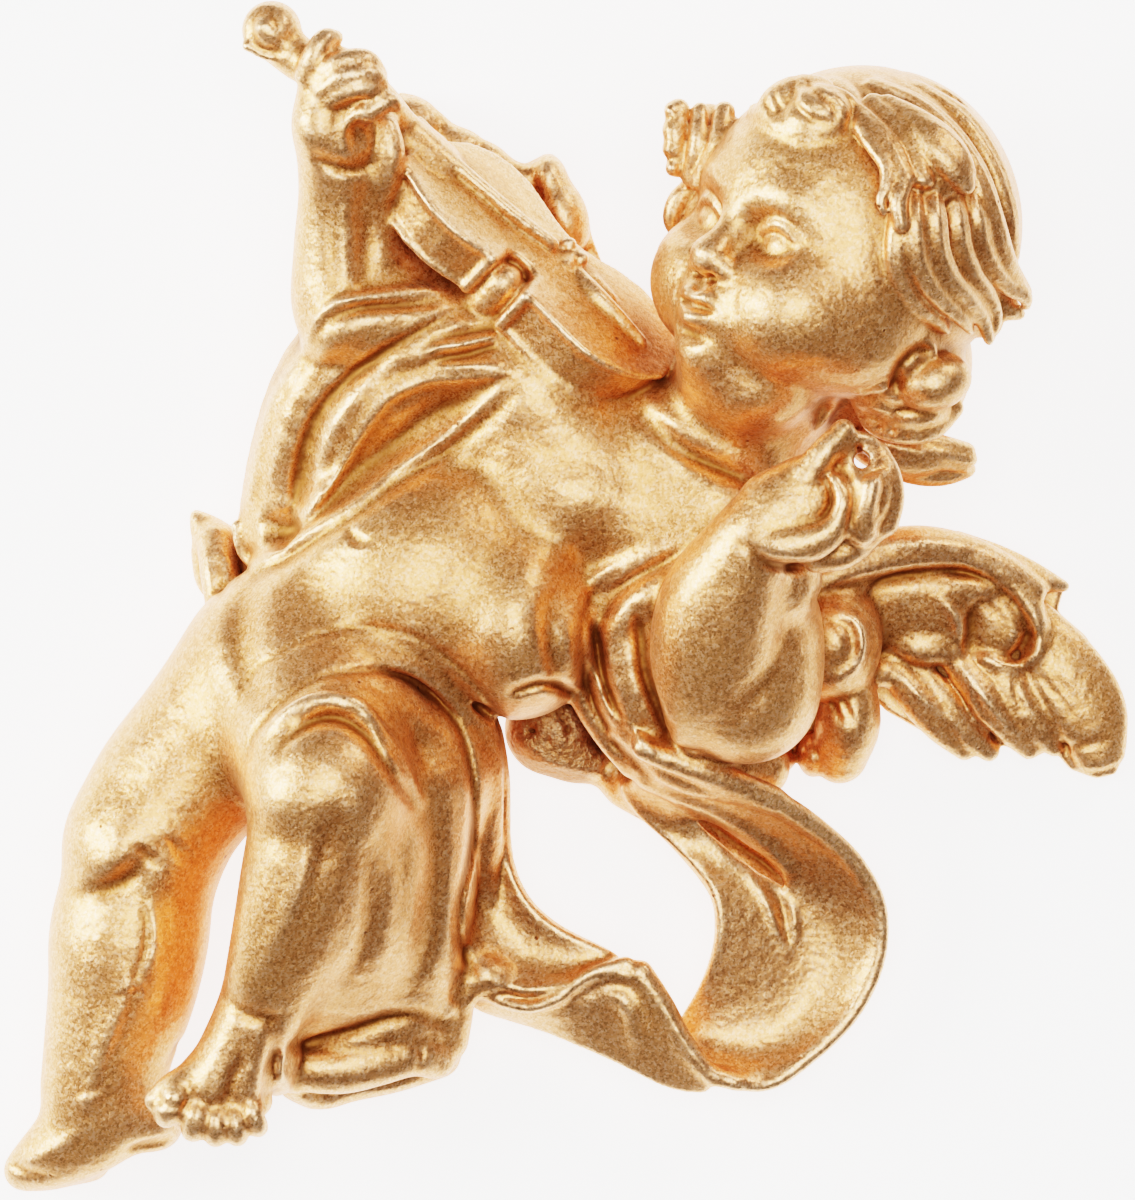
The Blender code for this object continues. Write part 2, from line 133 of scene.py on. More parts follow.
class Egg:
    """An ellipsoid: centre, half sizes, and a basis (rows are its own axes) or a turn about Z."""

    def __init__(self, at, size, turn=0.0, basis=None):
        self.at = np.asarray(at, float)
        self.size = np.asarray((size,) * 3 if np.isscalar(size) else size, float)
        if basis is None:
            c, s = math.cos(math.radians(turn)), math.sin(math.radians(turn))
            basis = ((c, s, 0), (-s, c, 0), (0, 0, 1))
        self.basis = np.asarray(basis, float)
        span = np.sqrt(((self.basis * self.size[:, None]) ** 2).sum(axis=0))
        self.low, self.high = self.at - span, self.at + span

    def fill(self, patch, reach):
        dx, dy, dz = patch.x - self.at[0], patch.y - self.at[1], patch.z - self.at[2]
        k0 = k1 = 0
        for axis, size in zip(self.basis, self.size):
            u = (dx * axis[0] + dy * axis[1] + dz * axis[2]) / size
            k0 = k0 + u * u
            k1 = k1 + (u / size) ** 2
        k0 = np.sqrt(k0)
        return k0 * (k0 - 1) / np.sqrt(np.maximum(k1, 1e-9))


class Side:
    """The part of a shape beyond a plane, on the side that `away` points to."""

    def __init__(self, shape, at, away):
        self.shape, self.at, self.away = shape, np.asarray(at, float), unit(away)
        self.low, self.high = shape.low, shape.high

    def fill(self, patch, reach):
        d = sum((p - at) * n for p, at, n in zip((patch.x, patch.y, patch.z), self.at, self.away))
        return np.maximum(self.shape.fill(patch, reach), -d)


class Limb:
    """A round limb, finger or roll through rows of (x, y, z, radius)."""

    def __init__(self, path, step=None):
        path = np.asarray(path, float)
        step = step or max(0.35, 0.3 * path[:, 3].mean())
        self.rows = spline(path, step)
        self.rows[:, 3] = np.maximum(self.rows[:, 3], 0.05)
        r = self.rows[:, 3:4]
        self.low, self.high = (self.rows[:, :3] - r).min(axis=0), (self.rows[:, :3] + r).max(axis=0)

    def fill(self, patch, reach):
        out = np.full(patch.shape, FAR, np.float32)
        for a, b, low, high in spans(self.rows, self.rows[:, 3], reach):
            cut = patch.part(low, high)
            if cut is None:
                continue
            qx, qy, qz, t = nearest(patch, cut, a, b)
            d = np.sqrt(qx * qx + qy * qy + qz * qz) - (a[3] + t * (b[3] - a[3]))
            np.minimum(out[cut], d, out=out[cut])
        return out


class Lock:
    """A flattened strand bundle through rows of (x, y, z, half width, half height).

    `face` is the outward direction, or one for each row. `strands` grooves, `groove` deep, run along it.
    """

    def __init__(self, path, face, strands=0, groove=0.0):
        path = np.asarray(path, float)
        face = np.asarray(face, float)
        if face.ndim == 1:
            face = np.repeat(face[None], len(path), axis=0)
        rows = spline(np.hstack([path, face]), max(0.4, 0.35 * path[:, 3].mean()))
        rows[:, 3:5] = np.maximum(rows[:, 3:5], 0.12)
        way = np.gradient(rows[:, :3], axis=0)
        way /= np.maximum(np.linalg.norm(way, axis=1), 1e-9)[:, None]
        out = rows[:, 5:8] - way * (rows[:, 5:8] * way).sum(axis=1)[:, None]
        out /= np.maximum(np.linalg.norm(out, axis=1), 1e-9)[:, None]
        self.rows, self.way, self.out, self.side = rows, way, out, np.cross(way, out)
        self.strands, self.groove = strands, groove
        r = rows[:, 3:5].max(axis=1, keepdims=True) + groove
        self.low, self.high = (rows[:, :3] - r).min(axis=0), (rows[:, :3] + r).max(axis=0)

    def fill(self, patch, reach):
        out = np.full(patch.shape, FAR, np.float32)
        wide = self.rows[:, 3:5].max(axis=1) + self.groove
        for i, (a, b, low, high) in enumerate(spans(self.rows, wide, reach)):
            cut = patch.part(low, high)
            if cut is None:
                continue
            qx, qy, qz, t = nearest(patch, cut, a, b)
            side, up, way = (v[i] + v[i + 1] for v in (self.side, self.out, self.way))
            side, up, way = unit(side), unit(up), unit(way)
            w = a[3] + t * (b[3] - a[3])
            h = a[4] + t * (b[4] - a[4])
            u = (qx * side[0] + qy * side[1] + qz * side[2]) / w
            v = (qx * up[0] + qy * up[1] + qz * up[2]) / h
            e = (qx * way[0] + qy * way[1] + qz * way[2]) / h
            k0 = np.sqrt(u * u + v * v + e * e)
            k1 = np.sqrt((u / w) ** 2 + (v / h) ** 2 + (e / h) ** 2)
            d = k0 * (k0 - 1) / np.maximum(k1, 1e-6)
            if self.strands:
                d = d + self.groove * (0.35 - np.abs(np.cos(0.5 * math.pi * self.strands * u)))
            np.minimum(out[cut], d, out=out[cut])
        return out


class Solid:
    """A closed mesh, such as one made with bmesh, as a distance field."""

    def __init__(self, points, faces):
        self.points = np.ascontiguousarray(points, np.float32)
        self.tris = np.ascontiguousarray([f for f in faces if len(f) == 3], np.uint32).reshape(-1, 3)
        self.quads = np.ascontiguousarray([f for f in faces if len(f) == 4], np.uint32).reshape(-1, 4)
        self.low, self.high = self.points.min(axis=0), self.points.max(axis=0)

    @classmethod
    def of_bmesh(cls, bm):
        bmesh.ops.recalc_face_normals(bm, faces=bm.faces[:])
        bmesh.ops.triangulate(bm, faces=[f for f in bm.faces if len(f.verts) > 4])
        bm.verts.index_update()
        made = cls([v.co[:] for v in bm.verts], [[v.index for v in f.verts] for f in bm.faces])
        bm.free()
        return made

    def fill(self, patch, reach):
        cells = reach / patch.cell + 2
        grid = openvdb.FloatGrid.createLevelSetFromPolygons(
            (self.points - patch.low.astype(np.float32)) / np.float32(patch.cell),
            triangles=self.tris, quads=self.quads, transform=openvdb.createLinearTransform(1.0),
            halfWidth=cells)
        out = np.zeros(patch.shape, np.float32)
        grid.copyToArray(out, ijk=(0, 0, 0))
        return out * np.float32(patch.cell)


class Clay:
    """A block of clay on a grid of cells. The field is negative inside the figure."""

    def __init__(self, low, high, cell):
        self.cell = cell
        self.low = np.asarray(low, float)
        self.size = [int(round((b - a) / cell)) + 1 for a, b in zip(low, high)]
        self.axes = [(self.low[i] + cell * np.arange(self.size[i])).astype(np.float32) for i in range(3)]
        self.field = np.full(self.size, FAR, np.float32)

    def patch(self, shape, reach):
        found = Patch(self, shape.low - reach, shape.high + reach)
        return None if found.empty else found

    def add(self, shape, soft=0.4):
        """Presses a shape on, with a fillet of about `soft`."""
        reach = soft + 2 * self.cell
        patch = self.patch(shape, reach)
        if patch is None:
            return
        d = shape.fill(patch, reach)
        field = self.field[patch.at]
        h = np.maximum(soft - np.abs(field - d), 0)
        field[...] = np.minimum(field, d) - h * h * (0.25 / max(soft, 1e-6))

    def cut(self, shape, soft=0.3):
        """Carves a shape out, with an edge rounded by about `soft`."""
        reach = soft + 2 * self.cell
        patch = self.patch(shape, reach)
        if patch is None:
            return
        d = -shape.fill(patch, reach)
        field = self.field[patch.at]
        h = np.maximum(soft - np.abs(field - d), 0)
        field[...] = np.maximum(field, d) + h * h * (0.25 / max(soft, 1e-6))

    def press(self, path, width):
        """A crease along rows of (x, y, z, depth); a negative depth raises a ridge."""
        path = np.asarray(path, float)
        rows = spline(path, max(0.4, width * 0.8))
        reach = 2.2 * width
        low, high = rows[:, :3].min(axis=0) - reach, rows[:, :3].max(axis=0) + reach
        patch = Patch(self, low, high)
        if patch.empty:
            return
        best = np.full(patch.shape, 1e3, np.float32)
        deep = np.zeros(patch.shape, np.float32)
        for a, b, lo, hi in spans(rows, np.zeros(len(rows)), reach):
            cut = patch.part(lo, hi)
            if cut is None:
                continue
            qx, qy, qz, t = nearest(patch, cut, a, b)
            d = qx * qx + qy * qy + qz * qz
            amount = (a[3] + t * (b[3] - a[3])) * np.exp(-d / (width * width))
            closer = d < best[cut]
            best[cut] = np.where(closer, d, best[cut])
            deep[cut] = np.where(closer, amount, deep[cut])
        self.field[patch.at] += deep

    def score(self, path, width, low=-9.0, high=90.0):
        """A crease seen from above along rows of (x, y, depth); a negative depth raises a ridge.

        `width` is one number, or the widths to the left and right of the line. It acts between two levels.
        """
        left, right = (width, width) if np.isscalar(width) else width
        rows = spline(np.asarray(path, float)[:, [0, 1, 2, 2]] * (1, 1, 0, 1), 0.5)
        reach = 2.1 * max(left, right)
        patch = Patch(self, np.append(rows[:, :2].min(axis=0) - reach, low - 1),
                      np.append(rows[:, :2].max(axis=0) + reach, high + 1))
        if patch.empty:
            return
        best = np.full(patch.shape[:2], 1e3, np.float32)
        deep = np.zeros(patch.shape[:2], np.float32)
        x, y = patch.x[:, :, 0], patch.y[:, :, 0]
        for a, b in zip(rows[:-1], rows[1:]):
            wide = (reach, reach, 100)
            cut = patch.part(np.minimum(a[:3], b[:3]) - wide, np.maximum(a[:3], b[:3]) + wide)
            if cut is None:
                continue
            u, v = b[0] - a[0], b[1] - a[1]
            px, py = x[cut[0]] - a[0], y[:, cut[1]] - a[1]
            t = np.clip((px * u + py * v) / max(u * u + v * v, 1e-9), 0, 1)
            d = (px - t * u) ** 2 + (py - t * v) ** 2
            side = np.where(u * py - v * px > 0, left, right)
            amount = (a[3] + t * (b[3] - a[3])) * np.exp(-d / side**2)
            flat = cut[:2]
            closer = d < best[flat]
            best[flat] = np.where(closer, d, best[flat])
            deep[flat] = np.where(closer, amount, deep[flat])
        ramp = np.clip((patch.z - low) / 1.5, 0, 1) * np.clip((high - patch.z) / 1.5, 0, 1)
        self.field[patch.at] += deep[:, :, None] * ramp

    def trim(self, axis, at, sign, soft=0.3):
        """Cuts the clay flat beyond a plane across one axis."""
        shape = [1, 1, 1]
        shape[axis] = -1
        d = (sign * (self.axes[axis] - at)).astype(np.float32).reshape(shape)
        h = np.maximum(soft - np.abs(self.field - d), 0)
        self.field[...] = np.maximum(self.field, d) + h * h * (0.25 / max(soft, 1e-6))

    def round_off(self, width):
        """Melts creases and joins narrower than about `width`."""
        self.field = np.ascontiguousarray(blurred(self.field, max(1, round(width / self.cell))))

    def soften(self):
        """Rounds the clay a little, as paint does."""
        for axis in range(3):
            f = np.moveaxis(self.field, axis, 0)
            f[1:-1] = 0.25 * f[:-2] + 0.5 * f[1:-1] + 0.25 * f[2:]


def blurred(field, cells, times=2):
    """The field averaged over boxes of cells, by running sums."""
    out = field.astype(np.float32)
    for _ in range(times):
        for axis in range(3):
            f = np.moveaxis(out, axis, 0)
            pad = np.concatenate([np.repeat(f[:1], cells + 1, 0), f, np.repeat(f[-1:], cells, 0)])
            total = np.cumsum(pad, axis=0, dtype=np.float64)
            f = ((total[2 * cells + 1:] - total[:-2 * cells - 1]) / (2 * cells + 1)).astype(np.float32)
            out = np.moveaxis(f, 0, axis)
    return out


def sampled(field, low, cell, points):
    """The field's values at points, by straight interpolation."""
    p = (points - low) / cell
    i = np.clip(np.floor(p).astype(int), 0, np.array(field.shape) - 2)
    f = p - i
    out = np.zeros(len(points))
    for dx in (0, 1):
        for dy in (0, 1):
            for dz in (0, 1):
                w = (f[:, 0] if dx else 1 - f[:, 0]) * (f[:, 1] if dy else 1 - f[:, 1]) * (
                    f[:, 2] if dz else 1 - f[:, 2])
                out += w * field[i[:, 0] + dx, i[:, 1] + dy, i[:, 2] + dz]
    return out


# ---------------------------------------------------------------- the figure

HEAD = np.array([35.6, 46, 25])
FACE = np.array([33, 43.6, 25.6])
FORWARD = unit((-0.69, 0.25, 0.67))
UP = unit((0.36, 0.93, 0.02))
SIDE = np.cross(UP, FORWARD)
FACE_BASIS = (SIDE, UP, FORWARD)
SCALP = HEAD + (1.3, 0.9, -1)
SCALP_RADIUS = 19.9
HAIR_LOW = (10, 20)  # the lowest X and Y that the hair reaches


def face_at(side, up, forward):
    """A point of the face from its own centre: to the near side, up, and forward."""
    return FACE + SIDE * side + UP * up + FORWARD * forward


def face_limb(rows):
    return Limb([(*face_at(*row[:3]), row[3]) for row in rows], 0.5)


def hair_lock(rows, strands=0, groove=0.3):
    """A lock lying on the scalp: rows of (x, y, lift, half width, half height)."""
    path, out = [], []
    for x, y, lift, wide, high in rows:
        dx, dy = x - SCALP[0], y - SCALP[1]
        z = SCALP[2] + math.sqrt(max(SCALP_RADIUS**2 - dx * dx - dy * dy, 4))
        away = unit((dx, dy, z - SCALP[2]))
        path.append((*(np.array((x, y, z)) + away * lift), wide, high))
        out.append(away)
    return Lock(path, out, strands, groove)


def torso(clay):
    clay.add(Egg((4.5, 15, 13), (18.5, 17, 14.5), 26), 1)
    clay.add(Egg((-18, 3, 14), (20, 17, 16.5), 26), 6)
    clay.add(Egg((-34, -8.2, 14), (14, 12.8, 14.5), 26), 5)
    clay.add(Egg((12, 8.5, 18), 9), 5)
    clay.add(Egg((-5.4, -2.8, 17.4), (10.4, 12.2, 14.8), -12), 4)
    clay.add(Egg((-2.5, 19.5, 18), (9.5, 8.5, 10)), 4)
    clay.add(Egg((1.5, 13.5, 18.5), (7.5, 7, 9.6)), 5)
    clay.add(Egg((-4, 26, 18), 10.5), 4)
    clay.add(Egg((19, 12, 19), 10), 4)
    clay.add(Limb([(13, 17, 16, 11), (23, 26, 21, 9.5), (32, 38, 24, 10.5)]), 3)
    clay.add(Egg((14.5, 20.5, 22), (6, 4.6, 5.5), 50), 3)
    clay.add(Egg((22, 24, 11), (14, 12, 11)), 4)
    clay.add(Limb([(-6, -5, 8, 8), (4, -4, 9, 8)]), 2)
    clay.add(Egg((-17, 42, 16), (7, 6, 8)), 2)
    clay.add(Egg((-18, 48, 13), (8, 9, 9)), 2)
    clay.add(Egg(HEAD, (18.8, 19.2, 19.2), basis=FACE_BASIS), 2)
    clay.add(Egg((34.6, 39.4, 34.5), (9.6, 9, 9.2)), 3)
    clay.add(Egg((34.6, 33.4, 31.8), (9.6, 8, 10.6)), 3)
    extended_leg(clay)
    bent_leg(clay)
    far_arm(clay)
    near_arm(clay)
    clay.round_off(0.75)
    torso_marks(clay)


def torso_marks(clay):
    clay.score([(-39.2, 4, 0.2), (-40.6, -1.2, 0.8), (-40.6, -6.2, 0.9), (-39.2, -11.2, 0.6)],
        (2.2, 1.8), 10)
    clay.score([(9.5, 22.6, 0.3), (13.7, 19.1, 0.9), (18.7, 16.4, 1.2), (24.1, 14.1, 1)],
        (1.8, 1.1), 16, 34)
    clay.score([(10.5, 24.2, -0.3), (14.8, 20.4, -0.5), (20, 17.6, -0.6), (25, 15.3, -0.3)],
        (1.6, 0.8), 18, 34)
    clay.score([(-27.2, 8.6, 0.3), (-26.4, 7.5, 0.55), (-25.2, 7.2, 0.2)], 0.5, 20)
    clay.score([(-27.4, 6.6, -0.12), (-25.4, 6.3, -0.18), (-24.4, 6.6, -0.1)], 0.35, 20)
    clay.score([(7.5, 12.4, 0), (2.5, 5.5, 0.8), (-1.5, -1, 1.1), (-3, -6, 0.6)], 3.4, 14)
    clay.score([(-8, 22, 0.2), (0, 17.5, 0.5), (8, 14.5, 0.2)], 2.8, 16)


def extended_leg(clay):
    clay.add(Limb([(-37.8, -10.2, 14.5, 11.4), (-44.4, -18, 14, 10.9), (-50.9, -26.4, 13.5, 10.4),
        (-54, -36, 12.5, 9.7), (-55.2, -42.5, 12, 10.1), (-55.9, -48, 11.2, 9.5), (-57.7, -56, 10, 8.3),
        (-59.1, -61.5, 9, 7.4)], 0.8), 3)
    clay.add(Egg((-54.4, -30.5, 15.5), (8.6, 8, 8.4)), 3)
    clay.add(Egg((-51.2, -33.4, 14), (5, 4.6, 7)), 2)
    clay.add(Limb([(-56.5, -64, 9, 6), (-60.9, -67.2, 8.4, 5.6), (-65.5, -70.3, 6.8, 4.2),
        (-68.6, -72, 5.6, 2.8)], 0.8), 2)
    clay.add(Egg((-52, -66.2, 7), (3.6, 3.4, 5.4)), 2)
    clay.add(Limb([(-60, -71.2, 5, 2.4), (-65.5, -72.6, 4.6, 1.9)]), 1)


def extended_leg_marks(clay):
    clay.score([(-60.2, -37, 0.2), (-57.6, -36, 1.1), (-55.2, -34.8, 1.3), (-53.2, -32.8, 0.6)],
        (1.5, 1.6), 12)
    clay.score([(-55.8, -30.8, -0.3), (-57.2, -33.2, -0.5), (-59.6, -35, -0.3)], 2, 12)
    for k in range(9):
        t = k / 8
        x, y = -53.6 + 6.8 * t, -31.2 - 0.8 * math.sin(9.4 * t) + 0.6 * t
        lean = 1.7 - 0.9 * t
        clay.score([(x - 0.7 * lean, y + 0.9, 0.1), (x + 0.2, y, 0.3 + 0.16 * (k % 2)),
            (x + 1 * lean, y - 1.9, 0.06)], 0.28, 12)
    clay.score([(-53.8, -36.6, 0.1), (-52.6, -40, 0.35), (-52.9, -44, 0.4), (-54.4, -47.8, 0.3)],
        (0.35, 0.3), 12)
    clay.score([(-53.4, -37, 0), (-52, -40.4, -0.35), (-52.2, -44.5, -0.4), (-53.6, -47.5, 0)],
        (1.6, 0.4), 12)
    clay.score([(-54.8, -48.2, -0.4), (-56.4, -52, -0.9), (-58.4, -57, -0.9), (-60.4, -62.8, -0.7)],
        1.25, 10)
    for k in range(12):
        t = k / 11
        x, y = -55.3 - 4.2 * t - 0.5 * t * t, -49.4 - 12.2 * t
        clay.score([(x - 1.4, y - 0.55, 0.5), (x, y - 0.1, 0.6), (x + 1.4, y + 0.4, 0.5)], 0.3, 10)
    clay.score([(-47.5, -55, 0), (-49.6, -56.2, 0.5), (-50.3, -58.2, 0.2)], 0.5, 4, 14)
    clay.score([(-69.6, -71.4, 0.4), (-67.4, -72.2, 0.5), (-64.6, -72.4, 0.1)], 0.45, 2)
    clay.score([(-60.6, -66.4, -0.2), (-64, -68.8, -0.35), (-67.5, -70.6, -0.2)], 0.9, 5)


def bent_leg(clay):
    clay.add(Limb([(-33, -9, 15, 13), (-31, -16, 23, 12.5), (-30, -22.5, 31, 9.8)], 0.8), 3)
    clay.add(Egg((-30, -23.4, 32.2), (9.2, 9, 9)), 3)
    clay.add(Limb([(-30.6, -26.5, 31, 8.6), (-32.2, -33.5, 29.6, 8.4), (-34.2, -41, 27.2, 7.6),
        (-36.6, -47, 25.2, 6.2), (-38.2, -51.2, 24, 5.3)], 0.8), 2)
    clay.add(Egg((-33.2, -24.8, 36.2), (4.6, 3.6, 4.2), 20), 2)
    clay.add(Egg((-26.8, -25, 37), (2.8, 2.6, 3.4)), 1.5)
    clay.add(Limb([(-33.6, -32.5, 33.4, 4.6), (-36.2, -40.5, 30.8, 4.2), (-38.4, -47.6, 27.8, 3.4)]), 2.5)
    clay.add(Limb([(-38.4, -51, 24, 5), (-41, -55, 23.2, 4.6), (-43, -59, 22.4, 4.4)], 0.8), 1.5)
    clay.add(Egg((-43.4, -60.6, 21.4), (7.2, 4.6, 4.8), 16), 2)
    clay.add(Egg((-39.6, -57, 18), (4.8, 5.4, 6)), 2)


def bent_leg_marks(clay):
    clay.score([(-28.6, -25.4, 0.1), (-29, -27.4, 0.7), (-30.2, -30.4, 0.7), (-31.8, -34.5, 0.3)],
        (2.6, 1.5), 26)
    clay.score([(-30.4, -28.6, 0), (-32.4, -33.6, -0.5), (-34.8, -40, -0.6), (-37.4, -46, -0.3)],
        (0.8, 1.6), 24)


def far_arm(clay):
    clay.add(Limb([(-5, 27, 19, 9.5), (-17, 33, 20, 8.5), (-27, 36.5, 22, 7.4), (-28.2, 43, 23.6, 6.2),
        (-28.5, 51, 26.4, 5.2), (-28.7, 57, 29.2, 5.2)], 0.8), 2)
    clay.add(Egg((-29.2, 60.6, 30.2), (5, 6.4, 5), -8), 2)
    clay.add(Egg((-29.2, 65.3, 32), (4.3, 4, 3.9)), 2)
    clay.add(Egg((-31.2, 59.4, 32.4), (3, 4.2, 3.4)), 1.5)
    clay.add(Egg((-24.4, 55.8, 27), (3.4, 6, 4), 8), 1.5)
    clay.add(Limb([(-25.2, 50, 23.5, 5), (-23.8, 44, 22, 5.4), (-21.5, 38, 20.5, 6)]), 2.5)


def near_arm(clay):
    clay.add(Limb([(19, 11.5, 19, 9.6), (22, 1, 21.5, 9.2), (22.5, -9, 23, 9.6), (22.3, -11.2, 23, 9.4)],
        0.8), 2)
    clay.add(Limb([(15.8, -13.6, 25.4, 5), (17.4, -10, 27, 7), (18.3, -5, 29.4, 8.1), (19.4, 0, 32.2, 7.7),
        (21.2, 4.2, 35.2, 6.3), (23.6, 8.2, 37.6, 5.3), (26, 11, 38.2, 5)], 0.8), 1)
    clay.add(Egg((28.6, 10.6, 37.2), (6.6, 5.4, 4.6), 40), 2)
    clay.add(Egg((27.6, 2.4, 29), (4.2, 5.6, 6), -8), 2.5)


def bow_hand(clay):
    clay.add(Egg((29.2, 11.6, 38.6), (7.6, 5.6, 4.4), 42), 1.2)
    clay.add(Limb([(25, 12.2, 38.4, 3.4), (29, 15, 39.8, 2.8)]), 1.2)
    clay.add(Limb([(23.2, 9, 39.4, 2.2), (24.2, 7.4, 40.4, 2.6), (27.2, 6.9, 41, 2.8),
        (30.6, 7.6, 41.4, 2.6), (33.2, 9.4, 41.8, 2), (33.9, 11.8, 42.2, 1.5), (33, 14.6, 42.2, 1.1)]), 0.6)
    clay.add(Limb([(29.8, 15.4, 40.8, 2.3), (31.9, 18.4, 41.6, 1.8), (34.2, 21, 41.4, 1.5)]), 0.6)
    clay.add(Egg((36.4, 12.6, 39.2), (4, 5.6, 4.2), -26), 1)
    clay.add(Egg((36.3, 17.4, 38.8), (3.3, 3.4, 3.2)), 0.8)
    clay.add(Limb([(36.6, 8.6, 40.4, 1.9), (37.3, 11.8, 42.2, 1.6), (37.8, 14.1, 42.6, 1.5)]), 0.4)
    clay.add(Limb([(39.4, 9.6, 38.6, 1.8), (40.2, 12.8, 39.2, 1.7), (39.8, 15.8, 39.6, 1.5),
        (38.6, 18.6, 39.4, 1.2)]), 0.4)
    clay.add(Limb([(33.6, 18.4, 41.2, 1.2), (35.4, 19.9, 41, 1.1), (37.4, 19.6, 40.2, 1.1)]), 0.4)
    clay.add(Limb([(30.5, 5.4, 37.2, 2.2), (34.6, 6.2, 37.8, 2.2), (37.4, 8.8, 38, 2.2),
        (39.4, 12.6, 37.6, 1.9)]), 0.9)
    clay.score([(22.6, 6.6, 0.2), (24.6, 4.8, 0.9), (27.4, 4.2, 1), (30, 4.2, 0.4)], (0.6, 0.9), 30)
    clay.score([(31.6, 15.2, 0.3), (32.6, 13.8, 0.7), (32.6, 11.8, 0.8), (31.4, 10, 0.6), (29, 9.2, 0.1)],
        0.45, 38)
    clay.score([(34.8, 15.6, 0.3), (35.6, 12.8, 0.7), (35, 9.8, 0.6), (34.2, 8, 0.2)], 0.45, 38)
    clay.score([(38, 10, 0.3), (38.8, 12.6, 0.6), (39, 15, 0.3)], 0.4, 38)
    clay.score([(36.2, 15.6, 0.2), (37.8, 15.9, 0.5), (39.2, 16.8, 0.2)], 0.35, 38)
    clay.cut(Limb([(36.5, 17.3, -4, 1), (36.5, 17.3, 52, 1)], 4), 0.3)
    clay.cut(Limb([(36.2, 18.85, 38.5, 0.42), (36.2, 18.85, 44, 0.42)]), 0.25)


def head(clay):
    clay.add(Egg(face_at(0, 6, 5.5), 13.5), 3)
    clay.add(Egg(face_at(0.4, -8, 5.5), (12.4, 11, 11.6), basis=FACE_BASIS), 3)
    for side in (-1, 1):
        clay.add(Egg(face_at(7.2 * side, -8.4, 9), 8.7), 3)
    clay.add(Egg(face_at(0, -11.6, 13.2), (6.4, 5.6, 5.2), basis=FACE_BASIS), 3)
    clay.add(Egg(face_at(0, -17, 12.8), (4.8, 4, 4.4), basis=FACE_BASIS), 2)
    clay.add(Egg(face_at(0, -19.5, 6), (9, 5.6, 7.5), basis=FACE_BASIS), 3)
    for side in (-1, 1):
        clay.cut(Egg(face_at(6.6 * side, -1.2, 18.4), (4.5, 3.1, 3.6), basis=FACE_BASIS), 2.4)
        clay.add(Egg(face_at(6.4 * side, -1.5, 12.5), (3.7, 3.4, 3.4), basis=FACE_BASIS), 0.5)
        clay.add(face_limb([(2.9 * side, -2.5, 14.5, 0.5), (4.5 * side, -0.3, 15.8, 0.7),
            (6.7 * side, 0.7, 16, 0.8), (9 * side, -0.1, 14.9, 0.7), (10.8 * side, -2.1, 12.8, 0.5)]), 0.4)
        clay.add(face_limb([(3.1 * side, -2.7, 14.4, 0.45), (4.9 * side, -3.9, 15, 0.55),
            (7 * side, -4.2, 15, 0.6), (9.4 * side, -3.2, 13.9, 0.5)]), 0.7)
        clay.add(face_limb([(2 * side, 2.4, 16.2, 1.2), (6.3 * side, 4.3, 15.7, 1.8),
            (10.8 * side, 2.2, 12, 1.4)]), 2.4)
    clay.add(face_limb([(0, 2.2, 16.2, 1.6), (0, -2.2, 17.2, 1.8), (0, -5.4, 18.7, 2.2)]), 1.8)
    clay.add(Egg(face_at(0, -6.2, 19), (2.6, 2.2, 2.2), basis=FACE_BASIS), 1.2)
    for side in (-1, 1):
        clay.add(Egg(face_at(2.5 * side, -7, 17.4), (1.6, 1.5, 1.9), basis=FACE_BASIS), 0.9)
        clay.cut(Egg(face_at(1.3 * side, -8.5, 18.4), (0.75, 0.7, 1), basis=FACE_BASIS), 0.35)
        clay.press([(*face_at(4.2 * side, -8.4, 16.6), 0.2), (*face_at(5.4 * side, -11, 16.4), 0.4),
            (*face_at(5.2 * side, -13.2, 15.6), 0.1)], 1.3)
    clay.add(face_limb([(-3.8, -11.8, 16.6, 0.6), (-1.7, -11.1, 18.3, 1), (0, -11.5, 18.6, 0.95),
        (1.7, -11.1, 18.3, 1), (3.8, -11.8, 16.6, 0.6)]), 0.6)
    clay.add(face_limb([(-3, -13.1, 17, 0.6), (0, -13.8, 18, 1.25), (3, -13.1, 17, 0.6)]), 0.7)
    clay.press([(*face_at(-4, -12, 16.8), 0.45), (*face_at(0, -12.5, 18.9), 1.05),
        (*face_at(4, -12, 16.8), 0.45)], 0.45)
    clay.press([(*face_at(0, -9, 18.3), 0.3), (*face_at(0, -10.4, 18.8), 0.35)], 0.6)
    clay.press([(*face_at(-2.6, -15.6, 16.2), 0.3), (*face_at(0, -16, 17), 0.9),
        (*face_at(2.6, -15.6, 16.2), 0.3)], 1)


